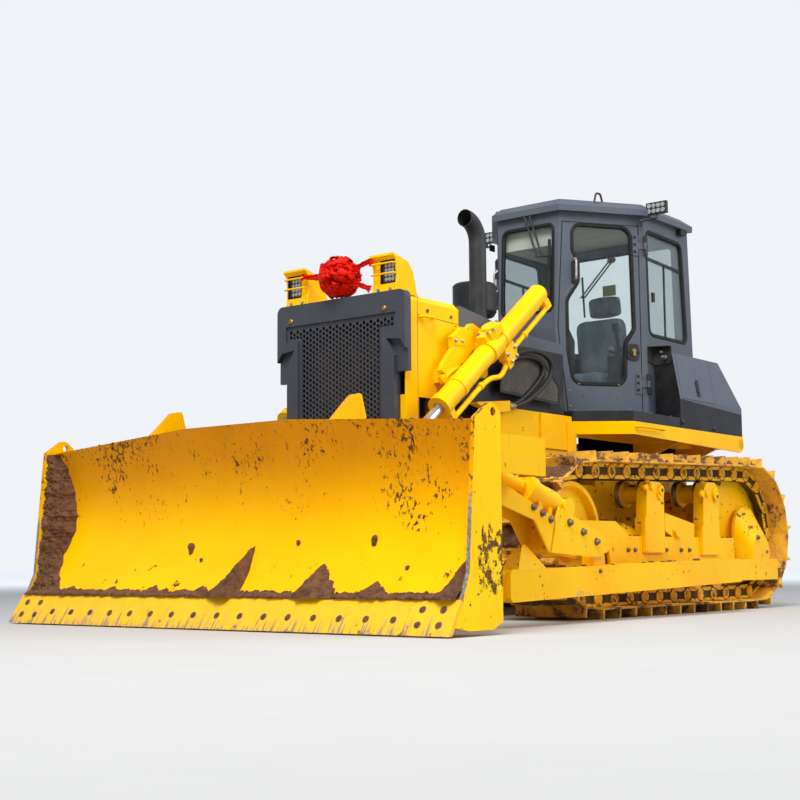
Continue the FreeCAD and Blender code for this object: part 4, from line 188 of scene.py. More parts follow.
def yellow_paint(name, chips=0.0, mud=0.0, dust=0.15, rubbed=0.0, top_mud=0.08,
                 tones=(YELLOW, YELLOW_DEEP)):
    """Bright machine paint; the numbers say how chipped, muddy, dusty and rubbed it is."""
    paint = Paint(name)
    broad = paint.noise(1.7, 3.0)
    fine = paint.noise(60.0, 4.0)
    colour = paint.mix(broad.between(0.3, 0.7), *tones)
    grime = paint.noise(7.0, 8.0, rough=0.7)
    up = paint.facing("Z")
    dusty = grime.between(0.45, 0.8) * dust + up.between(0.5, 1.0) * grime.between(0.35, 0.65) * dust * 1.6
    colour = paint.mix(dusty, colour, DUST)
    rough = 0.32 + dusty * 0.4 + fine * 0.06
    height = fine * 0.15
    if rubbed:
        worn = paint.noise(5.0, 9.0, (0.35, 1, 1), 0.68).between(0.66 - rubbed, 0.7 - rubbed)
        colour = paint.mix(worn * 0.7, colour, tone(200, 160, 110))
        rough = rough + worn * 0.2
    if chips:
        spots = paint.noise(46.0, 6.0, (1, 1, 0.7), 0.62)
        where = paint.noise(4.3, 4.0, rough=0.6)
        chipped = (spots + where * 0.55).between(0.975 - chips * 0.1, 0.995 - chips * 0.1)
        colour = paint.mix(chipped, colour, paint.mix(fine.between(0.4, 0.6), DIRT, DIRT_PALE))
        rough = rough + chipped * 0.35
        height = height - chipped * 0.5
    if mud:
        cake = paint.noise(17.0, 9.0, rough=0.7)
        grain = paint.noise(38.0, 8.0, rough=0.75)
        muddy = (cake + up * top_mud).between(0.66 - mud * 0.1, 0.68 - mud * 0.1)
        colour = paint.mix(muddy, colour, paint.mix(grain.between(0.3, 0.7), DIRT, DIRT_PALE))
        rough = rough + muddy * 0.5
        height = height + muddy * (grain * 2.0 + 1.5)
    return finish_paint(paint, Base_Color=colour, Roughness=rough, Normal=paint.bump(height, 0.0025),
                        Specular_IOR_Level=0.26, Specular_Tint=GLINT)


def dark_paint(name, base=tone(79, 85, 93), dust=0.25, rough=0.36, dark_below_and_front_shade=None, floor_below=None):
    """Satin graphite paint under dust; black below a sloping line and, as painted shade, on faces turned forward, or
    yellow on a floor's underside.
    """
    paint = Paint(name)
    film = paint.noise(5.0, 7.0, rough=0.65)
    fine = paint.noise(150.0, 3.0)
    dusty = film.between(0.4, 0.85) * dust + paint.facing("Z").between(0.6, 1.0) * film.between(0.3, 0.6) * dust
    sheen = rough + dusty * 0.5 + fine * 0.05
    if dark_below_and_front_shade:
        level, slope = dark_below_and_front_shade
        under = (paint.axis("X") * slope + level - paint.axis("Z")).between(0.0, 0.001)
        # painted shade: faces turned forward are also painted near black
        under = under.math("MAXIMUM", under, paint.facing("X").between(0.7, 0.8))
        base = paint.mix(under, base, tone(22, 22, 24))
        sheen = sheen - under * 0.1
    colour = paint.mix(dusty, base, tone(140, 132, 120))
    if floor_below:
        under = (floor_below - paint.axis("Z")).between(0.0, 0.001)
        colour = paint.mix(under, colour, paint.mix(film, YELLOW_DEEP, DUST))
    height = fine * 0.12
    return finish_paint(paint, Base_Color=colour, Roughness=sheen, Normal=paint.bump(height, 0.0012),
                        Specular_IOR_Level=0.35)


def steel(name, light=tone(176, 170, 160), dark=tone(96, 84, 72), metal=0.85, rough=0.38, scale=30.0):
    paint = Paint(name)
    wear = paint.noise(scale, 6.0, (1, 1, 0.4), 0.65)
    rust = paint.noise(scale * 0.3, 8.0, rough=0.7).between(0.56, 0.68)
    colour = paint.mix(wear.between(0.3, 0.7), light, dark)
    colour = paint.mix(rust * 0.5, colour, tone(122, 70, 34))
    return finish_paint(paint, Base_Color=colour, Metallic=metal - rust * metal * 0.8,
                        Roughness=rough + wear * 0.25, Normal=paint.bump(wear, 0.0006))


def rubber(name, base=tone(17, 17, 18), rough=0.55):
    paint = Paint(name)
    fine = paint.noise(180.0, 4.0)
    film = paint.noise(12.0, 5.0).between(0.45, 0.8)
    return finish_paint(paint, Base_Color=paint.mix(film * 0.08, base, tone(120, 110, 98)),
                        Specular_IOR_Level=0.3, Roughness=rough + fine * 0.12, Normal=paint.bump(fine, 0.0005))


def soil_paint(name, light=SOIL, dark=SOIL_DARK):
    paint = Paint(name)
    lump = paint.noise(22.0, 9.0, rough=0.75)
    grain = paint.noise(120.0, 8.0, rough=0.8)
    colour = paint.mix(lump.between(0.3, 0.72), dark, light)
    colour = paint.mix(grain.between(0.58, 0.75) * 0.5, colour, tone(156, 112, 74))
    return finish_paint(paint, Base_Color=colour, Roughness=0.92 + grain * 0.05,
                        Normal=paint.bump(lump + grain * 0.35, 0.016))


def shoe_paint(name):
    """Yellow track steel rubbed to ochre, with dried mud over most of it."""
    paint = Paint(name)
    broad = paint.noise(6.0, 8.0, rough=0.68)
    grain = paint.noise(45.0, 8.0, rough=0.75)
    colour = paint.mix(broad.between(0.35, 0.6), tone(248, 188, 36), tone(208, 150, 56))
    colour = paint.mix(grain.between(0.5, 0.7) * 0.55, colour, tone(120, 84, 50))
    muddy = (broad + grain * 0.35 + paint.facing("Z").between(0.3, 0.9) * 0.06).between(0.72, 0.78)
    colour = paint.mix(muddy, colour, paint.mix(grain.between(0.35, 0.65), SOIL_DARK, SOIL))
    return finish_paint(paint, Base_Color=colour, Roughness=0.58 + grain * 0.3,
                        Normal=paint.bump(grain * 0.6 + muddy * 1.2, 0.004))


def glass_paint(name, tint=tone(246, 250, 250), see=0.96):
    """Clear pane: part see-through, part mirror, with a little dust."""
    paint = Paint(name)
    film = paint.noise(9.0, 6.0, rough=0.65).between(0.45, 0.85)
    clear = paint.node("ShaderNodeBsdfTransparent", {}, {"Color": tint})
    gloss = paint.node("ShaderNodeBsdfPrincipled", {},
                       {"Base Color": tone(150, 158, 160), "Roughness": 0.06, "Specular IOR Level": 0.9})
    edge = paint.node("ShaderNodeLayerWeight", {}, {"Blend": 0.18}, out="Fresnel")
    share = film * 0.05 + edge * 0.55 + (1.0 - see) * 0.9
    output_node(paint, paint.node("ShaderNodeMixShader", {}, {0: share, 1: clear, 2: gloss}))
    return paint.material


def plastic(name, base=tone(40, 41, 43), rough=0.5):
    paint = Paint(name)
    grain = paint.noise(400.0, 3.0)
    film = paint.noise(8.0, 5.0).between(0.4, 0.8)
    return finish_paint(paint, Base_Color=paint.mix(film * 0.2, base, tone(110, 106, 100)),
                        Roughness=rough + grain * 0.1, Normal=paint.bump(grain, 0.0004))


def ribbon_cloth(name):
    """Red satin with a fine thread."""
    paint = Paint(name)
    thread = paint.noise(900.0, 2.0, (1, 1, 0.2))
    broad = paint.noise(14.0, 4.0)
    colour = paint.mix(broad.between(0.3, 0.7), tone(214, 24, 8), tone(180, 8, 4))
    return finish_paint(paint, Base_Color=colour, Roughness=0.4 + thread * 0.12, Sheen_Weight=0.08,
                        Specular_IOR_Level=0.3, Specular_Tint=tone(255, 120, 90), Sheen_Tint=tone(255, 110, 70), Normal=paint.bump(thread, 0.0003))


def seat_cloth(name):
    paint = Paint(name)
    grain = paint.node("ShaderNodeTexVoronoi", {}, {"Vector": paint.here, "Scale": 700.0})
    wrinkle = paint.noise(9.0, 4.0, (1, 1, 0.5))
    colour = paint.mix(wrinkle.between(0.35, 0.7), tone(100, 107, 113), tone(128, 136, 142))
    return finish_paint(paint, Base_Color=colour, Roughness=0.34 + wrinkle * 0.2,
                        Normal=paint.bump(grain * 0.06 + wrinkle, 0.002))


def louvre_paint(name):
    """Woven wire screen; the gaps between the wires are near black, as painted shade of the engine bay behind."""
    paint = Paint(name)
    across = paint.node("ShaderNodeTexWave", {"wave_type": "BANDS", "bands_direction": "X"},
                        {"Vector": paint.here, "Scale": 34.0})
    down = paint.node("ShaderNodeTexWave", {"wave_type": "BANDS", "bands_direction": "Z"},
                      {"Vector": paint.here, "Scale": 34.0})
    wire = across.math("MAXIMUM", across, down).between(0.62, 0.9)
    film = paint.noise(9.0, 6.0, rough=0.7).between(0.4, 0.75)
    metal = paint.mix(film, tone(92, 88, 80), tone(138, 118, 92))
    # painted shade: between the wires the colour is near black
    return finish_paint(paint, Base_Color=paint.mix(wire, tone(26, 25, 24), metal),
                        Roughness=0.75 - wire * 0.2, Normal=paint.bump(wire, 0.003))


CLEAN_YELLOW = yellow_paint("clean_yellow_paint", dust=0.03)
ARM_YELLOW = yellow_paint("rubbed_yellow_paint", chips=0.1, mud=0.16, dust=0.07, rubbed=0.05)
LINK_YELLOW = yellow_paint("link_yellow_paint", chips=0.3, mud=0.8, dust=0.6)
FRAME_YELLOW = yellow_paint("dusty_yellow_paint", chips=0.05, mud=0.12, dust=0.09, top_mud=0.14)
BEAM_YELLOW = yellow_paint("muddy_yellow_paint", chips=0.3, mud=0.7, dust=0.5)
GRAPHITE = dark_paint("graphite_paint", dust=0.1)
CAB_GRAPHITE = dark_paint("cab_graphite_paint", dust=0.1, floor_below=1.406)
BOX_GRAPHITE = dark_paint("box_graphite_paint", base=tone(84, 90, 100), dust=0.1, dark_below_and_front_shade=(1.6058, 0.0424))
SILL_BLACK = dark_paint("sill_black_paint", base=tone(32, 33, 36), dust=0.14, rough=0.3)
BLACK = dark_paint("black_paint", base=tone(26, 27, 29), dust=0.2, rough=0.45)
EXHAUST_BLACK = dark_paint("exhaust_black", base=tone(38, 38, 40), dust=0.12, rough=0.5)
GUARD_GRAPHITE = dark_paint("guard_graphite_paint", base=tone(58, 61, 68), dust=0.08, rough=0.42)
BOLT_STEEL = steel("bolt_steel", tone(206, 202, 194), tone(128, 118, 104), rough=0.3, scale=90.0)
RUSTY_BOLT = steel("dull_bolt_steel", tone(150, 132, 108), tone(90, 66, 46), metal=0.6, rough=0.5, scale=90.0)
BRASS = steel("brass_bolt", tone(196, 158, 84), tone(136, 96, 44), rough=0.32, scale=90.0)
WORN_STEEL = steel("worn_track_steel", tone(168, 158, 144), tone(92, 76, 60), rough=0.42)
IRON = steel("dirty_cast_iron", tone(104, 80, 52), tone(52, 40, 30), metal=0.5, rough=0.6, scale=14.0)
CHROME = steel("rod_chrome", tone(232, 234, 238), tone(190, 192, 196), metal=1.0, rough=0.12, scale=20.0)
RUBBER = rubber("black_rubber")
HOSE_RUBBER = rubber("hose_rubber", tone(36, 33, 31), 0.42)
SOIL_CAKE = soil_paint("dried_soil")
SHOE_OCHRE = shoe_paint("track_shoe_ochre")
GLASS = glass_paint("cab_glass")
LENS_GLASS = glass_paint("lamp_glass", tone(244, 244, 240), 0.9)
PLASTIC = plastic("dark_plastic")
RIBBON = ribbon_cloth("red_ribbon_satin")
VINYL = seat_cloth("seat_vinyl")
SCREEN = louvre_paint("engine_screen")


def cutting_edge_paint():
    """Yellow edge steel scored bare in streaks towards its lower edge."""
    paint = Paint("scored_edge_paint")
    streak = paint.noise(26.0, 7.0, (0.2, 2.4, 0.2), 0.7)
    high = paint.axis("Z")
    bare = (streak + (0.07 - high) * 1.5).between(0.56, 0.64)
    grime = paint.noise(16.0, 8.0, rough=0.7)
    colour = paint.mix(grime.between(0.35, 0.7) * 0.3, LIT_YELLOW, tone(206, 150, 40))
    colour = paint.mix(bare * 0.9, colour, tone(158, 142, 120))
    muddy = (grime + (0.04 - high) * 1.2).between(0.62, 0.66)
    colour = paint.mix(muddy, colour, SOIL)
    return finish_paint(paint, Base_Color=colour, Metallic=bare * 0.4, Roughness=0.42 + muddy * 0.45,
                        Normal=paint.bump(streak * 0.4 + muddy, 0.002))


def blade_paint():
    """The blade: chips crowd near the top and the left end, soil splashes rise from the edge, and the upper front is
    painted deeper amber as painted shade.
    """
    paint = Paint("blade_paint")
    high = paint.axis("Z")
    across = paint.axis("Y")
    broad = paint.noise(1.5, 3.0)
    fine = paint.noise(70.0, 5.0)
    outer = across.math("ABSOLUTE", across, 0.0).between(1.6931, 1.6937)
    ahead = paint.facing("X").between(0.1, 0.4)
    colour = paint.mix(broad.between(0.3, 0.7), LIT_YELLOW, tone(250, 182, 0))
    # painted shade: the upper front of the blade turns deep amber
    colour = paint.mix(high.between(0.45, 1.02) * ahead * 0.62, colour, tone(214, 122, 0))
    colour = paint.mix(outer, colour, paint.mix(broad.between(0.3, 0.7), tone(255, 212, 0), YELLOW))
    scrape = paint.noise(34.0, 6.0, (0.5, 1.8, 0.1), 0.72).between(0.58, 0.72)
    colour = paint.mix(scrape * (0.25 + high.between(0.5, 1.0) * 0.3), colour, tone(196, 124, 12))
    # blotchy amber film on the upper front: partly grime, partly painted shade deepening the top
    film = paint.noise(3.4, 6.0, rough=0.65).between(0.4, 0.75) * high.between(0.55, 1.05) * ahead
    colour = paint.mix(film * 0.3, colour, tone(190, 116, 8))
    spots = paint.noise(44.0, 9.0, (1, 1, 0.6), 0.7)
    where = paint.noise(3.2, 4.0, (1, 1, 0.8), 0.6)
    left = across.between(0.5, 1.68) * high.between(0.3, 1.0) * 0.06 + high.between(0.3, 1.15) * 0.1
    chipped = (spots + where * 0.6 + left * ahead).between(0.995, 1.01)
    brown = paint.mix(fine.between(0.4, 0.6), tone(62, 42, 30), tone(116, 80, 48))
    colour = paint.mix(chipped, colour, brown)
    drips = (paint.noise(20.0, 8.0, (1, 1.6, 0.22), 0.7) + high.between(0.6, 1.1) * ahead * 0.1).between(0.7, 0.75)
    colour = paint.mix(drips * 0.6, colour, brown)
    lump = paint.noise(11.0, 9.0, rough=0.72)
    clot = paint.noise(24.0, 9.0, (1, 1, 0.7), 0.72)
    band = high.between(0.12, 0.26) * (1.0 - high.between(0.46, 0.62)) * (1.0 - paint.axis("X").between(2.3, 2.42))
    splash = (lump - high.between(0.1, 0.75) * 0.14).between(0.6, 0.615) * (1.0 - outer)
    splash = splash + (clot + band * 0.17).between(0.67, 0.685) * outer
    colour = paint.mix(splash, colour, paint.mix(fine.between(0.3, 0.7), SOIL_DARK, SOIL))
    rim = across.math("ABSOLUTE", across, 0.0).between(1.668, 1.67) * (1.0 - outer) * paint.facing("X").between(0.8, 0.9)
    worn = rim * (lump + 0.75 - high).between(0.5, 0.7)
    colour = paint.mix(worn, colour, paint.mix(fine.between(0.35, 0.65), tone(120, 108, 96), tone(160, 148, 132)))
    height = fine * 0.1 - chipped * 0.5 + splash * (fine * 2.0 + 2.0)
    return finish_paint(paint, Base_Color=colour, Roughness=0.31 + chipped * 0.4 + splash * 0.5 + film * 0.2,
                        Normal=paint.bump(height, 0.0022), Specular_IOR_Level=0.25, Specular_Tint=GLINT)


EDGE_PAINT = cutting_edge_paint()
BLADE_PAINT = blade_paint()

NODE_PAINT = {
    "main_frame": BEAM_YELLOW, "equaliser_bar": IRON, "engine_block": IRON,
    "radiator_guard": GUARD_GRAPHITE, "radiator_core": IRON, "hood": CLEAN_YELLOW,
    "rear_hood": GRAPHITE, "engine_side_covers": BLACK, "side_skirts": FRAME_YELLOW,
    "headlamps": CLEAN_YELLOW, "lamp_lenses": LENS_GLASS, "exhaust_pipe": EXHAUST_BLACK,
    "air_cleaner": BLACK, "lift_yokes": CLEAN_YELLOW, "lift_barrel_left": CLEAN_YELLOW,
    "lift_barrel_right": CLEAN_YELLOW, "lift_rod_left": CHROME, "lift_rod_right": CHROME,
    "blade": BLADE_PAINT, "cutting_edges": EDGE_PAINT, "push_arms": ARM_YELLOW,
    "tilt_cylinder": ARM_YELLOW, "brace_link": ARM_YELLOW, "blade_brace": ARM_YELLOW,
    "cab_shell": CAB_GRAPHITE, "cab_windows": GLASS, "door_left": GRAPHITE, "door_right": GRAPHITE,
    "door_glass_left": GLASS, "door_glass_right": GLASS, "door_hinges": BLACK, "cab_roof": GRAPHITE,
    "console": PLASTIC, "fenders": CLEAN_YELLOW, "cab_sills": SILL_BLACK, "side_boxes": BOX_GRAPHITE,
    "box_lid_left": BOX_GRAPHITE, "box_lid_right": BOX_GRAPHITE, "rear_tank": BOX_GRAPHITE,
    # the chains' solid rows take dark dirty iron, which also stands as painted shade in the windows between the link
    # plates
    "drawbar": IRON, "tracks": SHOE_OCHRE, "track_chains": IRON, "sprockets": FRAME_YELLOW,
    "idlers": FRAME_YELLOW, "bottom_rollers": FRAME_YELLOW, "carrier_rollers": FRAME_YELLOW,
    "track_frames": FRAME_YELLOW, "final_drives": FRAME_YELLOW,
}
for node_name, material in NODE_PAINT.items():
    shown = bpy.data.objects[node_name]
    shown.data.materials.clear()
    shown.data.materials.append(material)


# Making meshes
class Piece:
    """Faces gathered for one object, in millimetres in the frame."""

    def __init__(self):
        self.mesh = bmesh.new()

    def skin(self, rings, loop=True, caps=True, closed=False):
        """Faces between rings of as many points each; closed joins the last ring to the first."""
        rows = [[self.mesh.verts.new(spot) for spot in ring] for ring in rings]
        pairs = list(zip(rows, rows[1:]))
        if closed:
            pairs.append((rows[-1], rows[0]))
        count = len(rows[0])
        for low, high in pairs:
            for index in range(count if loop else count - 1):
                after = (index + 1) % count
                self.mesh.faces.new((low[index], low[after], high[after], high[index]))
        if caps and not closed:
            self.mesh.faces.new(list(reversed(rows[0])))
            self.mesh.faces.new(rows[-1])

    def slab(self, outline, push):
        """A flat outline given a thickness."""
        self.skin([outline, [spot + push for spot in outline]])

    def box(self, low, high):
        corners = [point(low[0], low[1], low[2]), point(high[0], low[1], low[2]),
                   point(high[0], high[1], low[2]), point(low[0], high[1], low[2])]
        self.slab(corners, point(0, 0, high[2] - low[2]))

    def lathe(self, profile, spot, along, steps=20):
        """A round body: its profile is (place along the axis, radius) pairs."""
        one, two = cross_axes(along)
        way = along.normalized()
        rings = []
        for place, radius in profile:
            rings.append([spot + way * place + (one * math.cos(k * math.tau / steps)
                          + two * math.sin(k * math.tau / steps)) * radius for k in range(steps)])
        self.skin(rings)

    def bolt(self, spot, along, size):
        """A washer and a hexagon head with a bevel; size is across its corners."""
        half = size / 2
        self.lathe([(0, half * 1.3), (size * 0.1, half * 1.3), (size * 0.12, half * 1.2)], spot, along, 16)
        self.lathe([(size * 0.1, half), (size * 0.5, half), (size * 0.62, half * 0.82)], spot, along, 6)

    def sweep(self, path, shape, normal, closed):
        """A profile of (sideways, outwards) pairs led along a path that lies in one plane."""
        rings = []
        count = len(path)
        for index, spot in enumerate(path):
            before = path[index - 1] if closed or index else spot
            after = path[(index + 1) % count] if closed or index + 1 < count else spot
            one = (spot - before).normalized() if (spot - before).length > 1e-6 else None
            two = (after - spot).normalized() if (after - spot).length > 1e-6 else None
            way = ((one or two) + (two or one)).normalized()
            side = way.cross(normal)
            reach = 1 / max(0.5, (one or two).dot(way))
            rings.append([spot + side * (u * reach) + normal * v for u, v in shape])
        self.skin(rings, closed=closed)

    def tube(self, path, radius, steps=12):
        """A round bar along a path."""
        one, two = cross_axes(path[1] - path[0])
        rings = []
        for index, spot in enumerate(path):
            before = path[max(index - 1, 0)]
            after = path[min(index + 1, len(path) - 1)]
            way = (after - before).normalized()
            one = (one - way * one.dot(way)).normalized()
            two = way.cross(one)
            rings.append([spot + (one * math.cos(k * math.tau / steps)
                          + two * math.sin(k * math.tau / steps)) * radius for k in range(steps)])
        self.skin(rings)

    def clod(self, spot, size, seed, flat=0.6):
        """A lump of soil."""
        made = bmesh.ops.create_icosphere(self.mesh, subdivisions=2, radius=1)
        shift = Vector((seed * 3.1, seed * 1.7, seed * 0.9))
        for vert in made["verts"]:
            bumpy = 1 + 0.45 * noise.noise(vert.co * 1.6 + shift) + 0.2 * noise.noise(vert.co * 4 + shift)
            spread = vert.co * (size * bumpy)
            vert.co = spot + Vector((spread.x, spread.y, spread.z * flat))

    def made(self, name, body, slot, material, bevel=0.0, sharp=38):
        """Turns the faces into an object that rides on a body."""
        bmesh.ops.scale(self.mesh, vec=(MM, MM, MM), verts=self.mesh.verts)
        bmesh.ops.recalc_face_normals(self.mesh, faces=self.mesh.faces)
        for face in self.mesh.faces:
            face.smooth = True
        for edge in self.mesh.edges:
            edge.smooth = len(edge.link_faces) == 2 and edge.calc_face_angle(0) < math.radians(sharp)
        data = bpy.data.meshes.new(name)
        self.mesh.to_mesh(data)
        self.mesh.free()
        data.materials.append(material)
        thing = bpy.data.objects.new(name, data)
        bpy.context.scene.collection.objects.link(thing)
        if bevel:
            rounded = thing.modifiers.new("edges", "BEVEL")
            rounded.width = bevel * MM
            rounded.segments = 2
            rounded.limit_method = "ANGLE"
            rounded.harden_normals = True
        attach(thing, body)
        return thing


def cross_axes(along):
    """Two directions square to one another and to the given one."""
    way = along.normalized()
    helper = Vector((0, 0, 1)) if abs(way.z) < 0.9 else Vector((1, 0, 0))
    one = way.cross(helper).normalized()
    return one, way.cross(one)

# painted light: with distance the floor turns paler and glows, fading into the backdrop

def rounded_path(points, radius, steps=5):
    """A path whose corners are replaced by short curves."""
    path = [points[0]]
    for before, here, after in zip(points, points[1:], points[2:]):
        reach = min(radius, (before - here).length * 0.45, (after - here).length * 0.45)
        start = here + (before - here).normalized() * reach
        end = here + (after - here).normalized() * reach
        for step in range(steps + 1):
            share = step / steps
            path.append(start * (1 - share) ** 2 + here * 2 * share * (1 - share) + end * share ** 2)
    path.append(points[-1])
    return path


OUT = {1: Vector((0, 1, 0)), -1: Vector((0, -1, 0))}
FORWARD = Vector((1, 0, 0))
UP = Vector((0, 0, 1))


def pane_loops(node_name, middle):
    """The rims of a node's panes on their faces turned away from a middle point, and the normals."""
    mesh = bmesh.new()
    mesh.from_mesh(bpy.data.objects[node_name].data)
    bmesh.ops.remove_doubles(mesh, verts=mesh.verts, dist=0.0002)
    left = set(mesh.faces)
    loops = []
    for first in mesh.faces:
        if first not in left:
            continue
        left.discard(first)
        island = [first]
        for face in island:
            for edge in face.edges:
                for other in edge.link_faces:
                    if other in left:
                        left.discard(other)
                        island.append(other)
        main = max(island, key=lambda face: face.calc_area()).normal.copy()
        centre = sum((face.calc_center_median() for face in island), Vector()) / len(island)
        if main.dot(centre - middle) < 0:
            main.negate()
        side = {face for face in island if face.normal.dot(main) > 0.98}
        rim = [edge for edge in mesh.edges if sum(face in side for face in edge.link_faces) == 1]
        follow = {}
        for edge in rim:
            for vert in edge.verts:
                follow.setdefault(vert, []).append(edge.other_vert(vert))
        start = next(iter(follow))
        path, last, here = [start.co.copy()], start, follow[start][0]
        while here is not start:
            path.append(here.co.copy())
            last, here = here, next(v for v in follow[here] if v is not last)
        loops.append(([spot / MM for spot in path], main.copy()))
    mesh.free()
    return loops


CAB_MIDDLE = Vector((-1.4, 0, 2.2))
SEAL = [(-15, -1), (-15, 13), (-9, 21), (8, 22), (15, 17), (15, -1)]


def make_seals():
    """Black rubber round every pane of the cab and the doors."""
    for node_name, body, name in (("cab_windows", "machine", "window_seals"),
                                  ("door_glass_left", "door_left", "door_seal_left"),
                                  ("door_glass_right", "door_right", "door_seal_right")):
        seals = Piece()
        for path, normal in pane_loops(node_name, CAB_MIDDLE):
            seals.sweep(path, SEAL, normal, True)
        seals.made(name, body, "dark_plastic", RUBBER)


make_seals()


# Lamps, grille and the other small parts of the front
def guard_bolts():
    brass = Piece()
    for y, z in ((367, 1894), (-405, 1897)):
        brass.lathe([(0, 17), (4, 17), (9, 12), (11, 5)], point(1434, y, z), FORWARD, 20)
        brass.bolt(point(1438, y, z), FORWARD, 16)
    brass.made("guard_brass_bolts", "machine", "worn_steel", BRASS)


guard_bolts()

MESH_OUTLINE = [(345, 700), (345, 1763), (450, 1763), (450, 1865), (-450, 1865), (-450, 1763),
                (-345, 1763), (-345, 700)]
HOLE_STEP = 32.0
HOLE_RADIUS = 12.4


def inside_mesh(y, z, margin):
    """Whether a place is in the mesh's outline, moved in by a margin."""
    column = abs(y) < 345 - margin and 700 + margin < z < 1865 - margin
    band = abs(y) < 450 - margin and 1763 + margin < z < 1865 - margin
    return column or band


def make_grille():
    """Sheet with staggered round holes, and a plain rim round it."""
    grille = Piece()
    front, back = 1420.0, 1413.0
    across = HOLE_STEP * math.sqrt(0.75)
    cell = HOLE_STEP / math.sqrt(3)
    columns = int(450 / across) + 1
    for column in range(-columns, columns + 1):
        y = column * across
        shift = HOLE_STEP / 2 if column % 2 else 0
        for row in range(38):
            z = 690 + row * HOLE_STEP + shift
            if not inside_mesh(y, z, 4):
                continue
            outer, inner = [], []
            for k in range(12):
                turn = k * math.pi / 6
                reach = cell * math.cos(math.pi / 6) / math.cos((turn % (math.pi / 3)) - math.pi / 6)
                outer.append((y + math.cos(turn) * reach, z + math.sin(turn) * reach))
                inner.append((y + math.cos(turn) * HOLE_RADIUS, z + math.sin(turn) * HOLE_RADIUS))
            if inside_mesh(y, z, 24):
                rings = [[point(front, *spot) for spot in outer], [point(front, *spot) for spot in inner],
                         [point(back, *spot) for spot in inner]]
                grille.skin(rings, caps=False)
            elif inside_mesh(y, z, 16):
                grille.skin([[point(front, *spot) for spot in outer],
                             [point(back, *spot) for spot in outer]])
    rim = 22
    inner_line = []
    for y, z in MESH_OUTLINE:
        low = z == 700
        step = abs(y) == 345 and z == 1763
        inner_line.append((y - math.copysign(rim, y), z + (rim if low or (z == 1763 and not step) or step else -rim)))
    rings = [[point(front + 1, y, z) for y, z in MESH_OUTLINE],
             [point(front + 1, y, z) for y, z in inner_line],
             [point(back, y, z) for y, z in inner_line],
             [point(back, y, z) for y, z in MESH_OUTLINE]]
    grille.skin(rings, caps=False, closed=True)
    bmesh.ops.remove_doubles(grille.mesh, verts=grille.mesh.verts, dist=0.05)
    made = grille.made("perforated_grille", "machine", "black_paint", GUARD_GRAPHITE)
    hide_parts("grille")


make_grille()


def make_lamps():
    """Square work lamps in the hoods: a black case, rows of reflector cells and two guard rods."""
    cases, cells, rods, bolts, recesses = Piece(), Piece(), Piece(), Piece(), Piece()
    for side in SIDES:
        low = 268 + 60 if side > 0 else -268 - 187 + 12
        middle = low + 57.5
        case_front = 1404
        cases.skin([[point(case_front, middle + u, 2120 + v) for u, v in
                     ((-50, -66), (50, -66), (50, 66), (-50, 66))],
                    [point(case_front + 5, middle + u, 2120 + v) for u, v in
                     ((-50, -66), (50, -66), (50, 66), (-50, 66))],
                    [point(case_front + 5, middle + u, 2120 + v) for u, v in
                     ((-42, -58), (42, -58), (42, 58), (-42, 58))],
                    [point(case_front - 3, middle + u, 2120 + v) for u, v in
                     ((-42, -58), (42, -58), (42, 58), (-42, 58))]], caps=False, closed=True)
        for column in range(3):
            for row in range(4):
                spot = point(case_front - 3, middle + (column - 1) * 27, 2120 + (row - 1.5) * 28)
                cells.lathe([(-8, 4), (-7, 5), (2, 12.5), (3.5, 12.5)], spot, FORWARD, 12)
                cells.lathe([(-7, 5), (-2, 5), (1, 2.5)], spot, FORWARD, 8)
        recesses.skin([[point(x, low + u, z) for u, z in ((0.5, 2048.5), (114.5, 2048.5), (114.5, 2191.5),
                                                         (0.5, 2191.5))] for x in (1355, 1422)], caps=False)
        outer = 268 if side > 0 else -268 - 187
        for z in (2106, 2170):
            path = rounded_path([point(1424, outer + 8, z), point(1452, outer + 8, z - 2),
                                 point(1452, outer + 179, z - 2), point(1424, outer + 179, z)], 16)
            rods.tube(path, 5.5, 8)
        for y in (outer + 45, outer + 140):
            bolts.bolt(point(1422, y, 2012), FORWARD, 20)
        rods.tube([point(1432, outer + 176, 2036), point(1446, outer + 176, 2036)], 5, 8)
    cases.made("work_lamp_cases", "machine", "dark_plastic", PLASTIC, 1.5)
    cells.made("work_lamp_cells", "machine", "lamp_lens", LAMP_CELL)
    recesses.made("lamp_recesses", "machine", "dark_plastic", BLACK)
    rods.made("lamp_guard_rods", "machine", "yellow_paint", CLEAN_YELLOW)
    bolts.made("lamp_hood_bolts", "machine", "worn_steel", BOLT_STEEL)


def lamp_cell_paint():
    paint = Paint("lamp_cell_reflector")
    ripple = paint.noise(140.0, 3.0)
    return finish_paint(paint, Base_Color=paint.mix(ripple.between(0.3, 0.7), tone(196, 197, 190),
                                                    tone(132, 134, 130)),
                        Metallic=0.45, Roughness=0.22 + ripple * 0.2, Normal=paint.bump(ripple, 0.0006))


LAMP_CELL = lamp_cell_paint()
make_lamps()


# Ribbon bow: one long ribbon gathered into loops round its middle, tied to both lamps
BOW = point(1400, -20, 2142)
BOW_RADIUS = 146
RIBBON_WIDTH = 96


def petal_directions(count):
    """Directions spread evenly over a sphere."""
    for index in range(count):
        height = 1 - 2 * (index + 0.5) / count
        turn = index * math.pi * (3 - math.sqrt(5))
        flat = math.sqrt(1 - height * height)
        yield Vector((math.cos(turn) * flat, math.sin(turn) * flat, height))


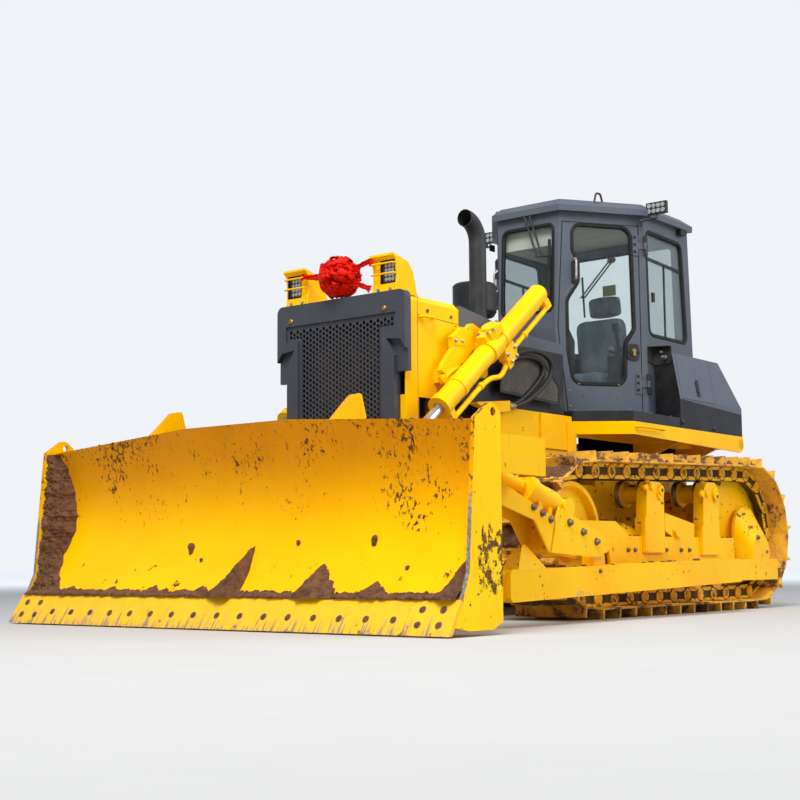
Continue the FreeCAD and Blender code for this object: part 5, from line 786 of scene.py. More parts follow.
def make_bow():
    random.seed(5)
    noise.seed_set(5)
    petals = 52
    steps, width_steps = 18, 10
    rows = []
    for index, out in enumerate(petal_directions(petals)):
        one, two = cross_axes(out)
        spin = random.uniform(0, math.tau)
        side = one * math.cos(spin) + two * math.sin(spin)
        wide = out.cross(side)
        reach = BOW_RADIUS * random.uniform(0.8, 1.0)
        open_by = random.uniform(18, 40)
        lean = random.uniform(-0.4, 0.4)
        for step in range(steps):
            turn = math.pi * step / steps
            ahead = math.sin(turn) ** 0.8 * reach
            apart = math.sin(2 * turn) * open_by
            spread = 0.2 + 0.8 * math.sin(turn) ** 0.7
            row = []
            for column in range(width_steps + 1):
                share = column / width_steps - 0.5
                spot = out * (ahead * (1 - 0.4 * share * share)) + side * (apart + lean * ahead * 0.3)
                spot += wide * (share * RIBBON_WIDTH * spread)
                shift = Vector((index * 7.3, 0, 0))
                crease = noise.noise_vector(spot * 0.021 + shift) * 18
                crease += noise.noise_vector(spot * 0.06 + shift) * 11
                ripple = abs(math.sin(share * 9 + index)) * 12 * math.sin(turn)
                spot += crease * math.sin(turn) + side * ripple
                limit = BOW_RADIUS * (0.97 + 0.13 * noise.noise(spot.normalized() * 1.9 + Vector((4, 0, 1))))
                if spot.length > limit:
                    spot *= (limit - 4 * abs(noise.noise(spot * 0.07))) / spot.length
                row.append(BOW + spot)
            rows.append(row)
    bow = Piece()
    bow.skin(rows, loop=False, caps=False)
    ribbon = bow.made("ribbon_bow_cloth", "machine", "red_ribbon", RIBBON, sharp=34)
    straps = Piece()
    runs = [
        [point(1404, 60, 2150), point(1436, 150, 2178), point(1452, 268, 2196), point(1456, 292, 2176)],
        [point(1410, 60, 2110), point(1424, 150, 2072), point(1432, 240, 2034), point(1438, 262, 2022)],
        [point(1404, -110, 2150), point(1440, -200, 2160), point(1454, -280, 2168), point(1456, -300, 2166)],
    ]
    for index, run in enumerate(runs):
        rings = []
        path = rounded_path(run, 60, 6)
        for count, spot in enumerate(path):
            share = count / (len(path) - 1)
            before, after = path[max(count - 1, 0)], path[min(count + 1, len(path) - 1)]
            way = (after - before).normalized()
            across = way.cross(FORWARD).normalized()
            half = 15 + 9 * abs(2 * share - 1) + 2 * math.sin(count * 1.9 + index)
            ring = []
            for k in range(8):
                u = (k / 7 - 0.5) * 2
                ring.append(spot + across * (u * half) + FORWARD * (5 * math.cos(u * 6 + count * 0.6)))
            rings.append(ring)
        straps.skin(rings, loop=False, caps=False)
    tied = straps.made("ribbon_straps", "machine", "red_ribbon", RIBBON, sharp=80)
    for cloth in (ribbon, tied):
        thick = cloth.modifiers.new("cloth", "SOLIDIFY")
        thick.thickness = 0.0008
        thick.offset = 0
    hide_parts("ribbon_bow")


make_bow()


# Seat: padded cushions on a plastic shell
VOXEL = 0.006
SWELL_LIMIT = 0.012
SWELL_FRAMES = 20
SEAM_WIDTH = 8


def keep_shape(thing, modifier):
    """Writes what a modifier makes into the mesh, and takes the modifier away."""
    seen = thing.evaluated_get(bpy.context.evaluated_depsgraph_get())
    data = bpy.data.meshes.new_from_object(seen)
    thing.modifiers.remove(modifier)
    thing.data = data


def swell(thing):
    """Blows a pad up as a closed bag of cloth; no point moves further than the limit."""
    even = thing.modifiers.new("even", "REMESH")
    even.mode = "VOXEL"
    even.voxel_size = VOXEL
    keep_shape(thing, even)
    before = [corner.co.copy() for corner in thing.data.vertices]
    bag = thing.modifiers.new("bag", "CLOTH")
    bag.settings.use_pressure = True
    bag.settings.uniform_pressure_force = 4.0
    bag.settings.effector_weights.gravity = 0.0
    bag.point_cache.frame_start = 1
    bag.point_cache.frame_end = SWELL_FRAMES
    for step in range(1, SWELL_FRAMES + 1):
        bpy.context.scene.frame_set(step)
    keep_shape(thing, bag)
    bpy.context.scene.frame_set(1)
    for corner, place in zip(thing.data.vertices, before):
        move = corner.co - place
        if move.length > SWELL_LIMIT:
            corner.co = place + move * (SWELL_LIMIT / move.length)
    for face in thing.data.polygons:
        face.use_smooth = True


def pad(name, spot, size, lean=0.0, crown=0.16, seams=()):
    """A crowned cushion: a rounded box that is blown up as cloth, with its seams drawn in after."""
    shape = Piece()
    rows = []
    count, round_count = 22, 36
    half = Vector(size) / 2
    for step in range(count + 1):
        v = -math.pi / 2 + math.pi * step / count
        row = []
        for k in range(round_count):
            u = math.tau * k / round_count
            power = 0.32
            cu, su = math.copysign(abs(math.cos(u)) ** power, math.cos(u)), \
                math.copysign(abs(math.sin(u)) ** power, math.sin(u))
            cv, sv = math.cos(v) ** power if math.cos(v) > 0 else 0, \
                math.copysign(abs(math.sin(v)) ** power, math.sin(v))
            place = Vector((cu * cv * half.x, su * cv * half.y, sv * half.z))
            flatness = (1 - (place.x / half.x) ** 2) * (1 - (place.y / half.y) ** 2)
            place.z *= 1 + crown * flatness - 0.06
            place.z += 2.5 * noise.noise(place * 0.02)
            row.append(place)
        rows.append(row)
    turn = Matrix.Rotation(lean, 3, "Y")
    shape.skin([[Vector(spot) + turn @ place for place in row] for row in rows[1:-1]])
    made = shape.made(name, "machine", "seat_vinyl", VINYL, sharp=70)
    swell(made)
    up = turn @ UP
    for corner in made.data.vertices:
        place = turn.transposed() @ (corner.co / MM - Vector(spot))
        if place.z > 0:
            drawn_in = sum(math.exp(-((place.y - line) / SEAM_WIDTH) ** 2) for line in seams)
            corner.co -= up * (drawn_in * half.z * 0.22 * MM)
    smoothed = made.modifiers.new("smooth", "SUBSURF")
    smoothed.levels = smoothed.render_levels = 1
    return made


def make_seat():
    floor = 1432
    base = Piece()
    base.slab([point(-1780, -165, floor), point(-1455, -165, floor), point(-1470, -165, floor + 250),
               point(-1765, -165, floor + 250)], point(0, 330, 0))
    for side in SIDES:
        base.slab([point(-1800, side * 236, floor + 330), point(-1560, side * 236, floor + 560),
                   point(-1560, side * 236, floor + 590), point(-1830, side * 236, floor + 600)],
                  point(0, side * 6, 0))
    pieces = [
        pad("seat_cushion", (-1605, 0, floor + 305), (450, 470, 118), -0.05, 0.2, (-150, 150)),
        pad("seat_back", (-1790, 0, floor + 620), (480, 450, 104), -1.45, 0.2, (-140, 140)),
        pad("head_rest", (-1842, 0, floor + 960), (160, 270, 84), -1.42, 0.22),
    ]
    for side in SIDES:
        pieces.append(pad("arm_rest_%s" % ("left" if side > 0 else "right"),
                          (-1640, side * 222, floor + 560), (260, 34, 44), 0.0, 0.1))
    shell = base.made("seat_base", "machine", "dark_plastic", PLASTIC, 8)
    for made in pieces + [shell]:
        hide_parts("operator_seat")


make_seat()


# Doors: handles, locks, hinge bolts and wipers are placed in the door's own plane
HINGE_CORNER = point(-1300, 665, 0)
DOOR_ALONG = Vector((1, -0.6893, 0)).normalized()
DOOR_OUT = Vector((0.6893, 1, 0)).normalized()


def mirrored(spot, side):
    return point(spot.x, spot.y * side, spot.z)


def door_spot(along, height, off, side):
    return mirrored(HINGE_CORNER + DOOR_ALONG * along + DOOR_OUT * off + UP * height, side)


def make_door_parts(side):
    body = "door_left" if side > 0 else "door_right"
    out = mirrored(DOOR_OUT, side)
    label = "left" if side > 0 else "right"
    black, bright, silver, brass = Piece(), Piece(), Piece(), Piece()
    recess = [door_spot(s, z, 1, side) for s, z in ((546, 2392), (602, 2392), (602, 2548), (560, 2592),
                                                    (546, 2592))]
    black.slab(recess, out * 5)
    bright.tube(rounded_path([door_spot(574, 2566, 6, side), door_spot(574, 2560, 32, side),
                              door_spot(577, 2424, 34, side), door_spot(577, 2416, 8, side)], 14), 9, 10)
    bright.lathe([(0, 16), (6, 16), (16, 11)], door_spot(572, 2572, 6, side), out, 16)
    plate = [door_spot(117 + 50 * math.copysign(abs(math.cos(k * math.tau / 28)) ** 0.55, math.cos(k * math.tau / 28)),
                       1897 + 62 * math.copysign(abs(math.sin(k * math.tau / 28)) ** 0.55,
                                                 math.sin(k * math.tau / 28)), 0, side) for k in range(28)]
    black.slab(plate, out * 9)
    black.lathe([(8, 30), (16, 28), (18, 18)], door_spot(117, 1897, 0, side), out, 24)
    brass.lathe([(16, 15), (24, 14), (26, 8)], door_spot(117, 1905, 0, side), out, 16)
    brass.slab([door_spot(s, z, 24, side) for s, z in ((106, 1868), (128, 1868), (124, 1912), (110, 1912))],
               out * 6)
    for s in (72, 160):
        silver.bolt(door_spot(s, 1897, 9, side), out, 11)
    for s, heights in ((95, (2769, 2715, 2661)), (95, (1718, 1669, 1616))):
        for z in heights:
            silver.bolt(door_spot(s - 12, z, 8, side), out, 17)
    for s, z in ((250, 1560), (520, 1560), (240, 1648), (560, 1648)):
        brass.lathe([(0, 7), (3, 6)], door_spot(s, z, 2, side), out, 10)
    wiper_motor = door_spot(258, 2592, -58, side)
    black.lathe([(0, 24), (46, 24)], wiper_motor, out, 16)
    for shift in (0, 26):
        black.tube([door_spot(262 + shift, 2588, 12, side), door_spot(502 + shift, 2290, 14, side)], 6.5, 8)
    black.tube([door_spot(244, 2590, 10, side), door_spot(296, 2590, 12, side)], 7, 8)
    black.tube([door_spot(494, 2292, 13, side), door_spot(540, 2284, 13, side)], 5, 8)
    black.slab([door_spot(s, z, -6, side) for s, z in ((496, 2140), (506, 2140), (520, 2440), (508, 2440))],
               out * 13)
    black.made("door_fittings_" + label, body, "dark_plastic", BLACK, 1.2)
    bright.made("door_handle_" + label, body, "worn_steel", BOLT_STEEL)
    brass.made("door_lock_" + label, body, "worn_steel", BRASS)
    silver.made("door_bolts_" + label, body, "dark_plastic", BLACK)


for side in SIDES:
    make_door_parts(side)


def make_cab_parts():
    """What is fixed to the cab: hinge bolts, strikers, roof eyes, work lamps, wiper and trims."""
    black, silver, cream, sticker, cells = Piece(), Piece(), Piece(), Piece(), Piece()
    for side in SIDES:
        out = OUT[side]
        for heights in ((2762, 2706, 2650), (1722, 1669, 1612)):
            for z in heights:
                black.bolt(point(-1327, side * 671, z), out, 14)
        bracket = [point(-1392, side * y, z) for y, z in ((667, 1812), (800, 1812), (818, 1830), (818, 1944),
                                                          (667, 1944))]
        black.slab(bracket, point(6, 0, 0))
        black.slab([point(x, side * 668, z) for x, z in ((-1392, 1812), (-1300, 1830), (-1300, 1944),
                                                         (-1392, 1944))], point(0, side * 5, 0))
        black.slab([point(x, y, 1940) for x, y in ((-1392, side * 668), (-1392, side * 818),
                                                   (-1350, side * 818), (-1300, side * 668))], point(0, 0, 5))
        silver.tube([point(-1374, side * 770, 1862), point(-1330, side * 772, 1862)], 9, 10)
        silver.lathe([(0, 15), (10, 15)], point(-1386, side * 770, 1862), FORWARD, 16)
        silver.lathe([(0, 11), (22, 10)], point(-1386, side * 745, 1905), FORWARD, 12)
        eye = rounded_path([point(-948, side * 450, 3020), point(-974, side * 450, 3088),
                            point(-1040, side * 450, 3090), point(-1066, side * 450, 3020)], 26)
        black.tube(eye, 8, 10)
        lamp = point(-1292, side * 776, 2982)
        black.slab([lamp + point(x, y, z) for x, y, z in ((-30, -84, -46), (-30, 84, -46), (-30, 84, 46),
                                                         (-30, -84, 46))], point(30, 0, 0))
        for fin in range(9):
            black.slab([lamp + point(-40, (fin - 4) * 18 - 3, -40), lamp + point(-40, (fin - 4) * 18 + 3, -40),
                        lamp + point(-40, (fin - 4) * 18 + 3, 40), lamp + point(-40, (fin - 4) * 18 - 3, 40)],
                       point(14, 0, 0))
        for column in range(4):
            for row in range(2):
                spot = lamp + point(0, (column - 1.5) * 38, (row - 0.5) * 40)
                cells.lathe([(-2, 6), (2, 17), (4, 17)], spot, FORWARD, 12)
        black.tube(rounded_path([lamp + point(-14, 0, -50), lamp + point(-10, 0, -74),
                                 point(-1240, side * 690, 2890), point(-1226, side * 668, 2880)], 18), 9, 8)
        black.slab([point(-1262, side * 668, z) for z in (2846, 2900)] + [point(-1190, side * 668, z)
                                                                       for z in (2900, 2846)], point(0, side * 6, 0))
        black.slab([point(-1892, side * 662, 2884), point(-1822, side * 662, 2884),
                    point(-1822, side * 662, 2934), point(-1892, side * 662, 2934)], point(0, side * 44, 0))
        bar = [point(-1344, side * 640, 2638), point(-1925, side * 640, 2612), point(-1925, side * 640, 2590),
               point(-1344, side * 640, 2616)]
        black.slab(bar, point(0, side * 14, 0))
        black.slab([point(x, side * 640, z) for x, z in ((-1640, 2060), (-1622, 2060), (-1622, 2622),
                                                         (-1640, 2622))], point(0, side * 10, 0))
        black.slab([point(x, side * 648, z) for x, z in ((-1452, 2300), (-1420, 2300), (-1420, 2372),
                                                         (-1452, 2372))], point(0, side * 14, 0))
    for shift in (-21, 23):
        black.tube([point(-700, shift, 2966), point(-694, shift + 118, 2604)], 8, 8)
    black.tube([point(-706, -34, 2962), point(-706, 60, 2956)], 15, 12)
    black.tube([point(-690, 90, 2604), point(-690, 196, 2596)], 6, 8)
    black.slab([point(-706, 186, 2292), point(-706, 206, 2292), point(-704, 218, 2722),
                point(-704, 198, 2722)], point(14, 0, 0))
    sticker.slab([point(-2014, -116, 2518), point(-2014, 6, 2518), point(-2012, 6, 2606),
                  point(-2012, -116, 2606)], point(2, 0, 0))
    lining = [(-775, -260), (-775, 260), (-1310, 620), (-1955, 620), (-1955, -620), (-1310, -620)]
    cream.slab([point(x, y, 2912) for x, y in lining], point(0, 0, 14))
    for side in SIDES:
        cream.slab([point(-1340, side * 600, 2846), point(-1940, side * 600, 2846),
                    point(-1940, side * 600, 2912), point(-1340, side * 600, 2912)], point(0, side * 16, 0))
    cream.slab([point(-792, -250, 2700), point(-792, 250, 2700), point(-800, 250, 2912),
                point(-800, -250, 2912)], point(6, 0, 0))
    black.made("cab_fittings", "machine", "dark_plastic", BLACK, 1.5)
    silver.made("striker_pins", "machine", "worn_steel", BOLT_STEEL)
    cells.made("roof_lamp_cells", "machine", "lamp_lens", LAMP_CELL)
    cream.made("cab_lining", "machine", "dark_plastic", CREAM)
    sticker.made("blank_rear_plate", "machine", "dark_plastic", PALE_YELLOW)


CREAM = plastic("cream_lining", tone(206, 200, 182), 0.7)
PALE_YELLOW = plastic("blank_yellow_plate", tone(206, 190, 96), 0.5)
make_cab_parts()


# Lift cylinders: steel pipes, valve blocks and hoses
TRUNNION = point(683, 625, 1705)
LIFT_WAY = Vector((0.792065, 0, -0.610437))
LIFT_UP = Vector((0.610437, 0, 0.792065))


def on_lift(along, above, aside, side):
    """A place by the cylinder: along its axis, above it and out from it."""
    return mirrored(TRUNNION + LIFT_WAY * along + LIFT_UP * above + Vector((0, aside, 0)), side)


YOKE_BODY = ((997, 1748), (892, 1824), (767, 1817), (756, 1708), (862, 1609), (1057, 1513), (1115, 1530),
             (1087, 1580), (989, 1679))
YOKE_CAP = ((1006, 1752), (978, 1704), (866, 1708), (872, 1766), (930, 1790))
YOKE_LUG = ((1110, 1494), (1082, 1446), (1040, 1462), (888, 1573), (916, 1594), (1060, 1520))


def make_lift_parts(side):
    label = "left" if side > 0 else "right"
    body = "lift_barrel_" + label
    yellow, silver = Piece(), Piece()
    out = OUT[side]
    # the pipe along the barrel, in two runs that meet at the valve block
    high_run = rounded_path([on_lift(-690, -40, 40, side), on_lift(-672, -96, 46, side),
                             on_lift(-330, -98, 46, side), on_lift(-190, -104, 40, side),
                             on_lift(-150, -128, 30, side)], 45)
    low_run = rounded_path([on_lift(-58, -150, 30, side), on_lift(60, -180, 36, side), on_lift(180, -112, 44, side),
                            on_lift(330, -98, 46, side), on_lift(640, -98, 46, side),
                            on_lift(668, -60, 36, side)], 60)
    yellow.tube(high_run, 17, 12)
    yellow.tube(low_run, 17, 12)
    for along in (-330, 300):
        yellow.lathe([(-14, 24), (14, 24)], on_lift(along, -98, 46, side), LIFT_WAY, 16)
    for low, high in ((-720, -660), (640, 690)):
        yellow.slab([on_lift(low, -40, 10, side), on_lift(high, -40, 10, side), on_lift(high, -104, 14, side),
                     on_lift(low, -104, 14, side)], out * 52)
    # the clamp below the barrel and the valve block
    yellow.slab([on_lift(s, v, -8, side) for s, v in ((-176, -52), (-60, -52), (-40, -120), (-66, -160),
                                                     (-150, -166), (-190, -110))], out * 66)
    yellow.slab([on_lift(s, v, 10, side) for s, v in ((-96, -128), (-40, -128), (-40, -186), (-96, -186))],
                out * 44)
    for along, above in ((-166, -92), (-66, -92), (-150, -148), (-84, -150)):
        silver.bolt(on_lift(along, above, 58, side), out, 24)
    # bolts of the trunnion cap on top, and its round cover
    cap = [(-150, -30), (-128, -58), (-40, -66), (10, -44), (26, 6), (10, 50), (-40, 66), (-128, 58), (-150, 30)]
    yellow.slab([on_lift(s, 56, a, side) for s, a in cap], LIFT_UP * 56)
    yellow.lathe([(0, 56), (12, 55), (18, 49), (18, 40), (14, 34)], on_lift(-74, 112, 0, side), LIFT_UP, 32)
    for along, aside in ((-138, 22), (-26, 58), (12, 34), (12, -34), (-138, -22)):
        silver.bolt(on_lift(along, 112, aside, side), LIFT_UP, 22)
    # clevis lug on the front run, and the end ring of the barrel
    yellow.made("lift_pipes_" + label, body, "yellow_paint", CLEAN_YELLOW, 2.5)
    for along in (160, 700):
        silver.lathe([(-3, 40), (3, 40)] if along == 700 else [(0, 5), (4, 5)], on_lift(along, 0, 0, side),
                     LIFT_WAY, 24)
    silver.made("lift_bolts_" + label, body, "worn_steel", BOLT_STEEL)
    plain, fittings = Piece(), Piece()
    wide = 520
    plain.tube(rounded_path([point(930, side * (wide + 22), 1566), point(1004, side * (wide + 30), 1534),
                             point(1074, side * (wide + 34), 1486)], 30), 13, 10)
    plain.lathe([(-9, 30), (9, 30)], point(1078, side * (wide + 34), 1478), out, 20)
    plain.lathe([(-9, 26), (9, 26)], point(924, side * (wide + 22), 1570), out, 20)
    # the yoke's tapered casting on the hood's side, its cap and its lower lug
    for outline, thick in ((YOKE_BODY, 30), (YOKE_CAP, 35), (YOKE_LUG, 24)):
        plain.slab([point(x, side * wide, z) for x, z in outline], out * thick)
    for x, z in ((962, 1732), (890, 1738)):
        fittings.bolt(point(x, side * (wide + 35), z), out, 20)
    for x in (800, 866):
        fittings.bolt(point(x, side * (wide + 15), 1818), UP, 22)
    plain.slab([point(x, side * 520, z) for x, z in ((401, 1400), (403, 1330), (560, 1310), (770, 1347),
                                                    (770, 1362), (560, 1384))], out * 60)
    plain.slab([point(x, side * 520, z) for x, z in ((430, 1330), (500, 1330), (560, 1240), (530, 1236))], out * 30)
    fittings.lathe([(0, 15), (34, 15), (36, 20), (52, 20), (54, 15), (70, 15)],
                   point(402, side * 572, 1362), Vector((-1, 0, 0.12)), 12)
    fittings.lathe([(0, 15), (34, 15), (36, 20), (52, 20), (54, 15), (70, 15)],
                   point(402, side * 548, 1372), Vector((-1, 0, 0.12)), 12)
    plain.made("hose_brackets_" + label, "machine", "yellow_paint", CLEAN_YELLOW, 2)
    fittings.made("hose_fittings_" + label, "machine", "worn_steel", BOLT_STEEL)


for side in SIDES:
    make_lift_parts(side)

HOSE_RUNS = {
    "outer": [(452, 612, 1640), (398, 604, 1700), (318, 598, 1724), (145, 594, 1764), (-40, 590, 1742),
              (-112, 588, 1664), (-40, 586, 1560), (160, 580, 1430), (280, 576, 1384), (335, 573, 1371)],
    "inner": [(440, 586, 1612), (392, 580, 1672), (300, 574, 1694), (150, 568, 1722), (0, 562, 1704),
              (-48, 558, 1640), (34, 554, 1556), (190, 550, 1440), (290, 549, 1392), (335, 548, 1381)],
}
HOSE_WIDTH = 32


def make_hose(name, run, side):
    """A hydraulic hose between the cylinder's valve block and its bracket on the machine."""
    curve = bpy.data.curves.new(name, "CURVE")
    curve.dimensions = "3D"
    curve.bevel_depth = HOSE_WIDTH / 2 * MM
    curve.bevel_resolution = 4
    curve.resolution_u = 10
    line = curve.splines.new("NURBS")
    line.points.add(len(run) - 1)
    for spot, place in zip(line.points, run):
        spot.co = (place[0] * MM, place[1] * side * MM, place[2] * MM, 1)
    line.order_u = 3
    line.use_endpoint_u = True
    curve.materials.append(HOSE_RUBBER)
    hose = bpy.data.objects.new(name, curve)
    bpy.context.scene.collection.objects.link(hose)
    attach(hose, "machine")
    plain = curve.copy()
    plain.bevel_depth = 0
    ghost = bpy.data.objects.new(name + "_line", plain)
    centre = bpy.data.meshes.new_from_object(ghost)
    spots = [vert.co for vert in centre.vertices]
    length = sum((two - one).length for one, two in zip(spots, spots[1:]))
    bpy.data.objects.remove(ghost)
    bpy.data.curves.remove(plain)
    bpy.data.meshes.remove(centre)


for side in SIDES:
    for which, run in HOSE_RUNS.items():
        make_hose("lift_hose_%s_%s" % (which, "left" if side > 0 else "right"), run, side)


def make_hood_parts():
    """Bolts and seams of the hood, the screen in the engine's side and the cab's front bolts."""
    silver, dark, screen, frame_rim, yellow = Piece(), Piece(), Piece(), Piece(), Piece()
    for side in SIDES:
        out = OUT[side]
        face = side * 480
        for x, z in ((1153, 1903), (909, 1896), (860, 1832)):
            silver.bolt(point(x, face, z), out, 20)
        dark.slab([point(x, side * 479.2, z) for x, z in ((1246, 1872), (830, 1858), (830, 1854), (1246, 1868))],
                  out * 1.2)
        dark.slab([point(x, side * 479.2, z) for x, z in ((1250, 700), (1254, 700), (1254, 1985), (1250, 1985))],
                  out * 1.2)
        yellow.tube(rounded_path([point(1230, face, 1858), point(1222, side * 520, 1856),
                                  point(1120, side * 520, 1858), point(1112, face, 1860)], 22), 11, 10)
        edge = [(228, 1716), (-70, 1700), (-250, 1556), (-246, 1436), (460, 1462), (440, 1640)]
        screen.slab([point(x, side * 541, z) for x, z in edge], out * 3)
        path = [point(x, side * 541, z) for x, z in edge]
        frame_rim.sweep(path, [(-9, 0), (-9, 7), (9, 7), (9, 0)], out, True)
        for x, z in ((-30, 1752), (330, 1752), (-396, 1540), (-396, 1430), (640, 1500)):
            silver.bolt(point(x, side * 540, z), out, 20)
        for x in (-450, -700, -1000, -1300):
            share = max(0.0, min(1.0, (-420 - x) / 269))
            y = 540 + share * 332 - 26
            silver.bolt(point(x, side * y, 1402), UP, 16)
    silver.made("hood_bolts", "machine", "worn_steel", RUSTY_BOLT)
    dark.made("hood_seams", "machine", "dark_plastic", BLACK)
    yellow.made("hood_grab_bars", "machine", "yellow_paint", CLEAN_YELLOW)
    screen.made("engine_screens", "machine", "black_paint", SCREEN)
    frame_rim.made("engine_screen_frames", "machine", "black_paint", BLACK)


make_hood_parts()


def make_deck_parts():
    """Grab rail and brackets of the fenders, seams and latches of the side boxes."""
    yellow, dark, silver, pale = Piece(), Piece(), Piece(), Piece()
    for side in SIDES:
        out = OUT[side]
        rail = rounded_path([point(-714, side * 878, 1292), point(-722, side * 916, 1290),
                             point(-1078, side * 916, 1290), point(-1086, side * 878, 1292)], 30)
        yellow.tube(rail, 9, 10)
        yellow.lathe([(0, 44), (14, 44)], point(-2400, side * 866, 1268), out, 24)
        dome = [(0, 22), (6, 21), (11, 14), (13, 5)]
        dark.lathe(dome, point(-1428, side * 876, 1374), out, 20)
        dark.lathe(dome, point(-1940, side * 876, 1357), out, 20)
        dark.slab([point(x, side * 875.6, z) for x, z in ((-1434, 1446), (-1434, 1442), (-1963, 1424),
                                                         (-1963, 1428))], out * 1.4)
        lean = Vector((0, side, 0.174)).normalized()
        latch = [point(-1712 + u, side * (872 - (v + 70) * 0.174), 1650 + v) for u, v in
                 ((-24, -62), (24, -62), (24, 44), (4, 66), (-24, 66))]
        dark.slab(latch, lean * 5)
        silver.lathe([(0, 9), (8, 8)], latch[0] + point(24, 0, 34) + lean * 5, lean, 12)
    dark.box((-2446, -30, 1300), (-2440, 30, 1360))
    for y in (-400, 400):
        for z in (1230, 1500, 1770):
            silver.bolt(point(-2440, y, z if z < 1700 else 1700), Vector((-1, 0, 0)), 20)
    yellow.made("fender_rails", "machine", "yellow_paint", CLEAN_YELLOW)
    dark.made("box_trims", "machine", "black_paint", BLACK, 0.6)
    silver.made("box_latch_bolts", "machine", "worn_steel", RUSTY_BOLT)


make_deck_parts()


# Tracks: pin places follow the chain of the part
TRACK_Y = 940
HUB, HUB_RADIUS = point(-2008, 0, 562.6), 440.6
IDLER, IDLER_RADIUS = point(422, 0, 522), 400.0
SHOES, TEETH = 37, 27


def track_pins():
    """Middles of the chain's pins: over the sprocket, the top run, the idler and the ground run."""
    span = IDLER - HUB
    top = math.atan2(span.z, span.x) + math.acos((HUB_RADIUS - IDLER_RADIUS) / span.length)
    seat = 4 * math.pi / TEETH
    start, end, low = math.pi - 3 * seat, math.pi + 3 * seat, -math.pi / 2

    def on(centre, radius, angle):
        return centre + point(math.cos(angle) * radius, 0, math.sin(angle) * radius)

    runs = [
        (lambda share: on(HUB, HUB_RADIUS, start + (top - start) * share), abs(top - start) * HUB_RADIUS),
        (lambda share: on(HUB, HUB_RADIUS, top).lerp(on(IDLER, IDLER_RADIUS, top), share),
         (on(IDLER, IDLER_RADIUS, top) - on(HUB, HUB_RADIUS, top)).length),
        (lambda share: on(IDLER, IDLER_RADIUS, top + (low - top) * share), (top - low) * IDLER_RADIUS),
        (lambda share: on(IDLER, IDLER_RADIUS, low).lerp(on(HUB, HUB_RADIUS, low), share), IDLER.x - HUB.x),
        (lambda share: on(HUB, HUB_RADIUS, 3 * math.pi / 2 + (end - 3 * math.pi / 2) * share),
         (3 * math.pi / 2 - end) * HUB_RADIUS),
    ]
    free = SHOES - 6
    step = sum(length for place, length in runs) / free
    pins = []
    for index in range(free + 1):
        along = index * step
        for place, length in runs:
            if along <= length + 1e-6:
                break
            along -= length
        pins.append(place(min(along / length, 1.0)))
    return pins + [on(HUB, HUB_RADIUS, end - index * seat) for index in range(1, 6)]


def make_track_parts():
    """Link bosses and pins on both faces of the chains, shoe bolts, and soil on the shoes."""
    pins = track_pins()
    random.seed(11)
    for side in SIDES:
        label = "left" if side > 0 else "right"
        links, caps, bolts, soil = Piece(), Piece(), Piece(), Piece()
        for index, pin in enumerate(pins):
            after = pins[(index + 1) % len(pins)]
            along = (after - pin).normalized()
            outward = point(-along.z, 0, along.x)
            pitch = (after - pin).length

            def spot(a, h, y):
                return pin + along * a + outward * h + point(0, side * y, 0)

            for face, way in ((TRACK_Y + 105, 1), (TRACK_Y - 105, -1)):
                out = OUT[side] * way
                links.lathe([(0, 45), (8, 45), (11, 42), (11, 30), (7, 27)], spot(0, 2, face), out, 24)
                caps.lathe([(0, 27), (9, 27), (12, 24), (8, 15), (9, 5)], spot(0, 2, face), out, 20)
                links.slab([spot(a, h, face) for a, h in ((28, -49), (pitch - 32, -49), (pitch - 44, -30),
                                                          (pitch - 70, -22), (66, -22), (42, -32))], out * 8)
                links.slab([spot(a, h, face) for a, h in ((20, 51), (pitch - 22, 51), (pitch - 42, 34),
                                                          (pitch - 66, 30), (60, 30), (38, 38))], out * 8)
            for a in (78, 156):
                for y in (TRACK_Y - 82, TRACK_Y + 82):
                    bolts.bolt(spot(a, 64, y), outward, 30)
            lumps, across = 7, 15
            rows = []
            for u in range(lumps + 1):
                row = []
                for v in range(across + 1):
                    a = 44 + (pitch - 62) * u / lumps
                    y = TRACK_Y - 240 + 480 * v / across
                    seed = Vector((a * 0.02 + index * 3.3, y * 0.018, side * 5.0))
                    rise = 18 + 26 * noise.noise(seed) + 10 * noise.noise(seed * 3.1)
                    edge = min(u, lumps - u, 1.0) * min(v, across - v, 1.0)
                    row.append(spot(a, 62 + max(0.0, rise) * edge, y))
                rows.append(row)
            soil.skin(rows, loop=False, caps=False)
            if outward.z > 0.3:
                for k in range(3):
                    place = spot(random.uniform(50, pitch - 30), 72, TRACK_Y + random.uniform(-230, 235))
                    soil.clod(place, random.uniform(9, 22), random.uniform(0, 60))
        links.made("chain_link_faces_" + label, "machine", "undercarriage", LINK_YELLOW, 1.2)
        caps.made("chain_pin_ends_" + label, "machine", "undercarriage", SHOE_OCHRE)
        bolts.made("shoe_bolts_" + label, "machine", "undercarriage", RUSTY_BOLT)
        soil.made("shoe_soil_" + label, "machine", "undercarriage", SOIL_CAKE, sharp=60)


make_track_parts()


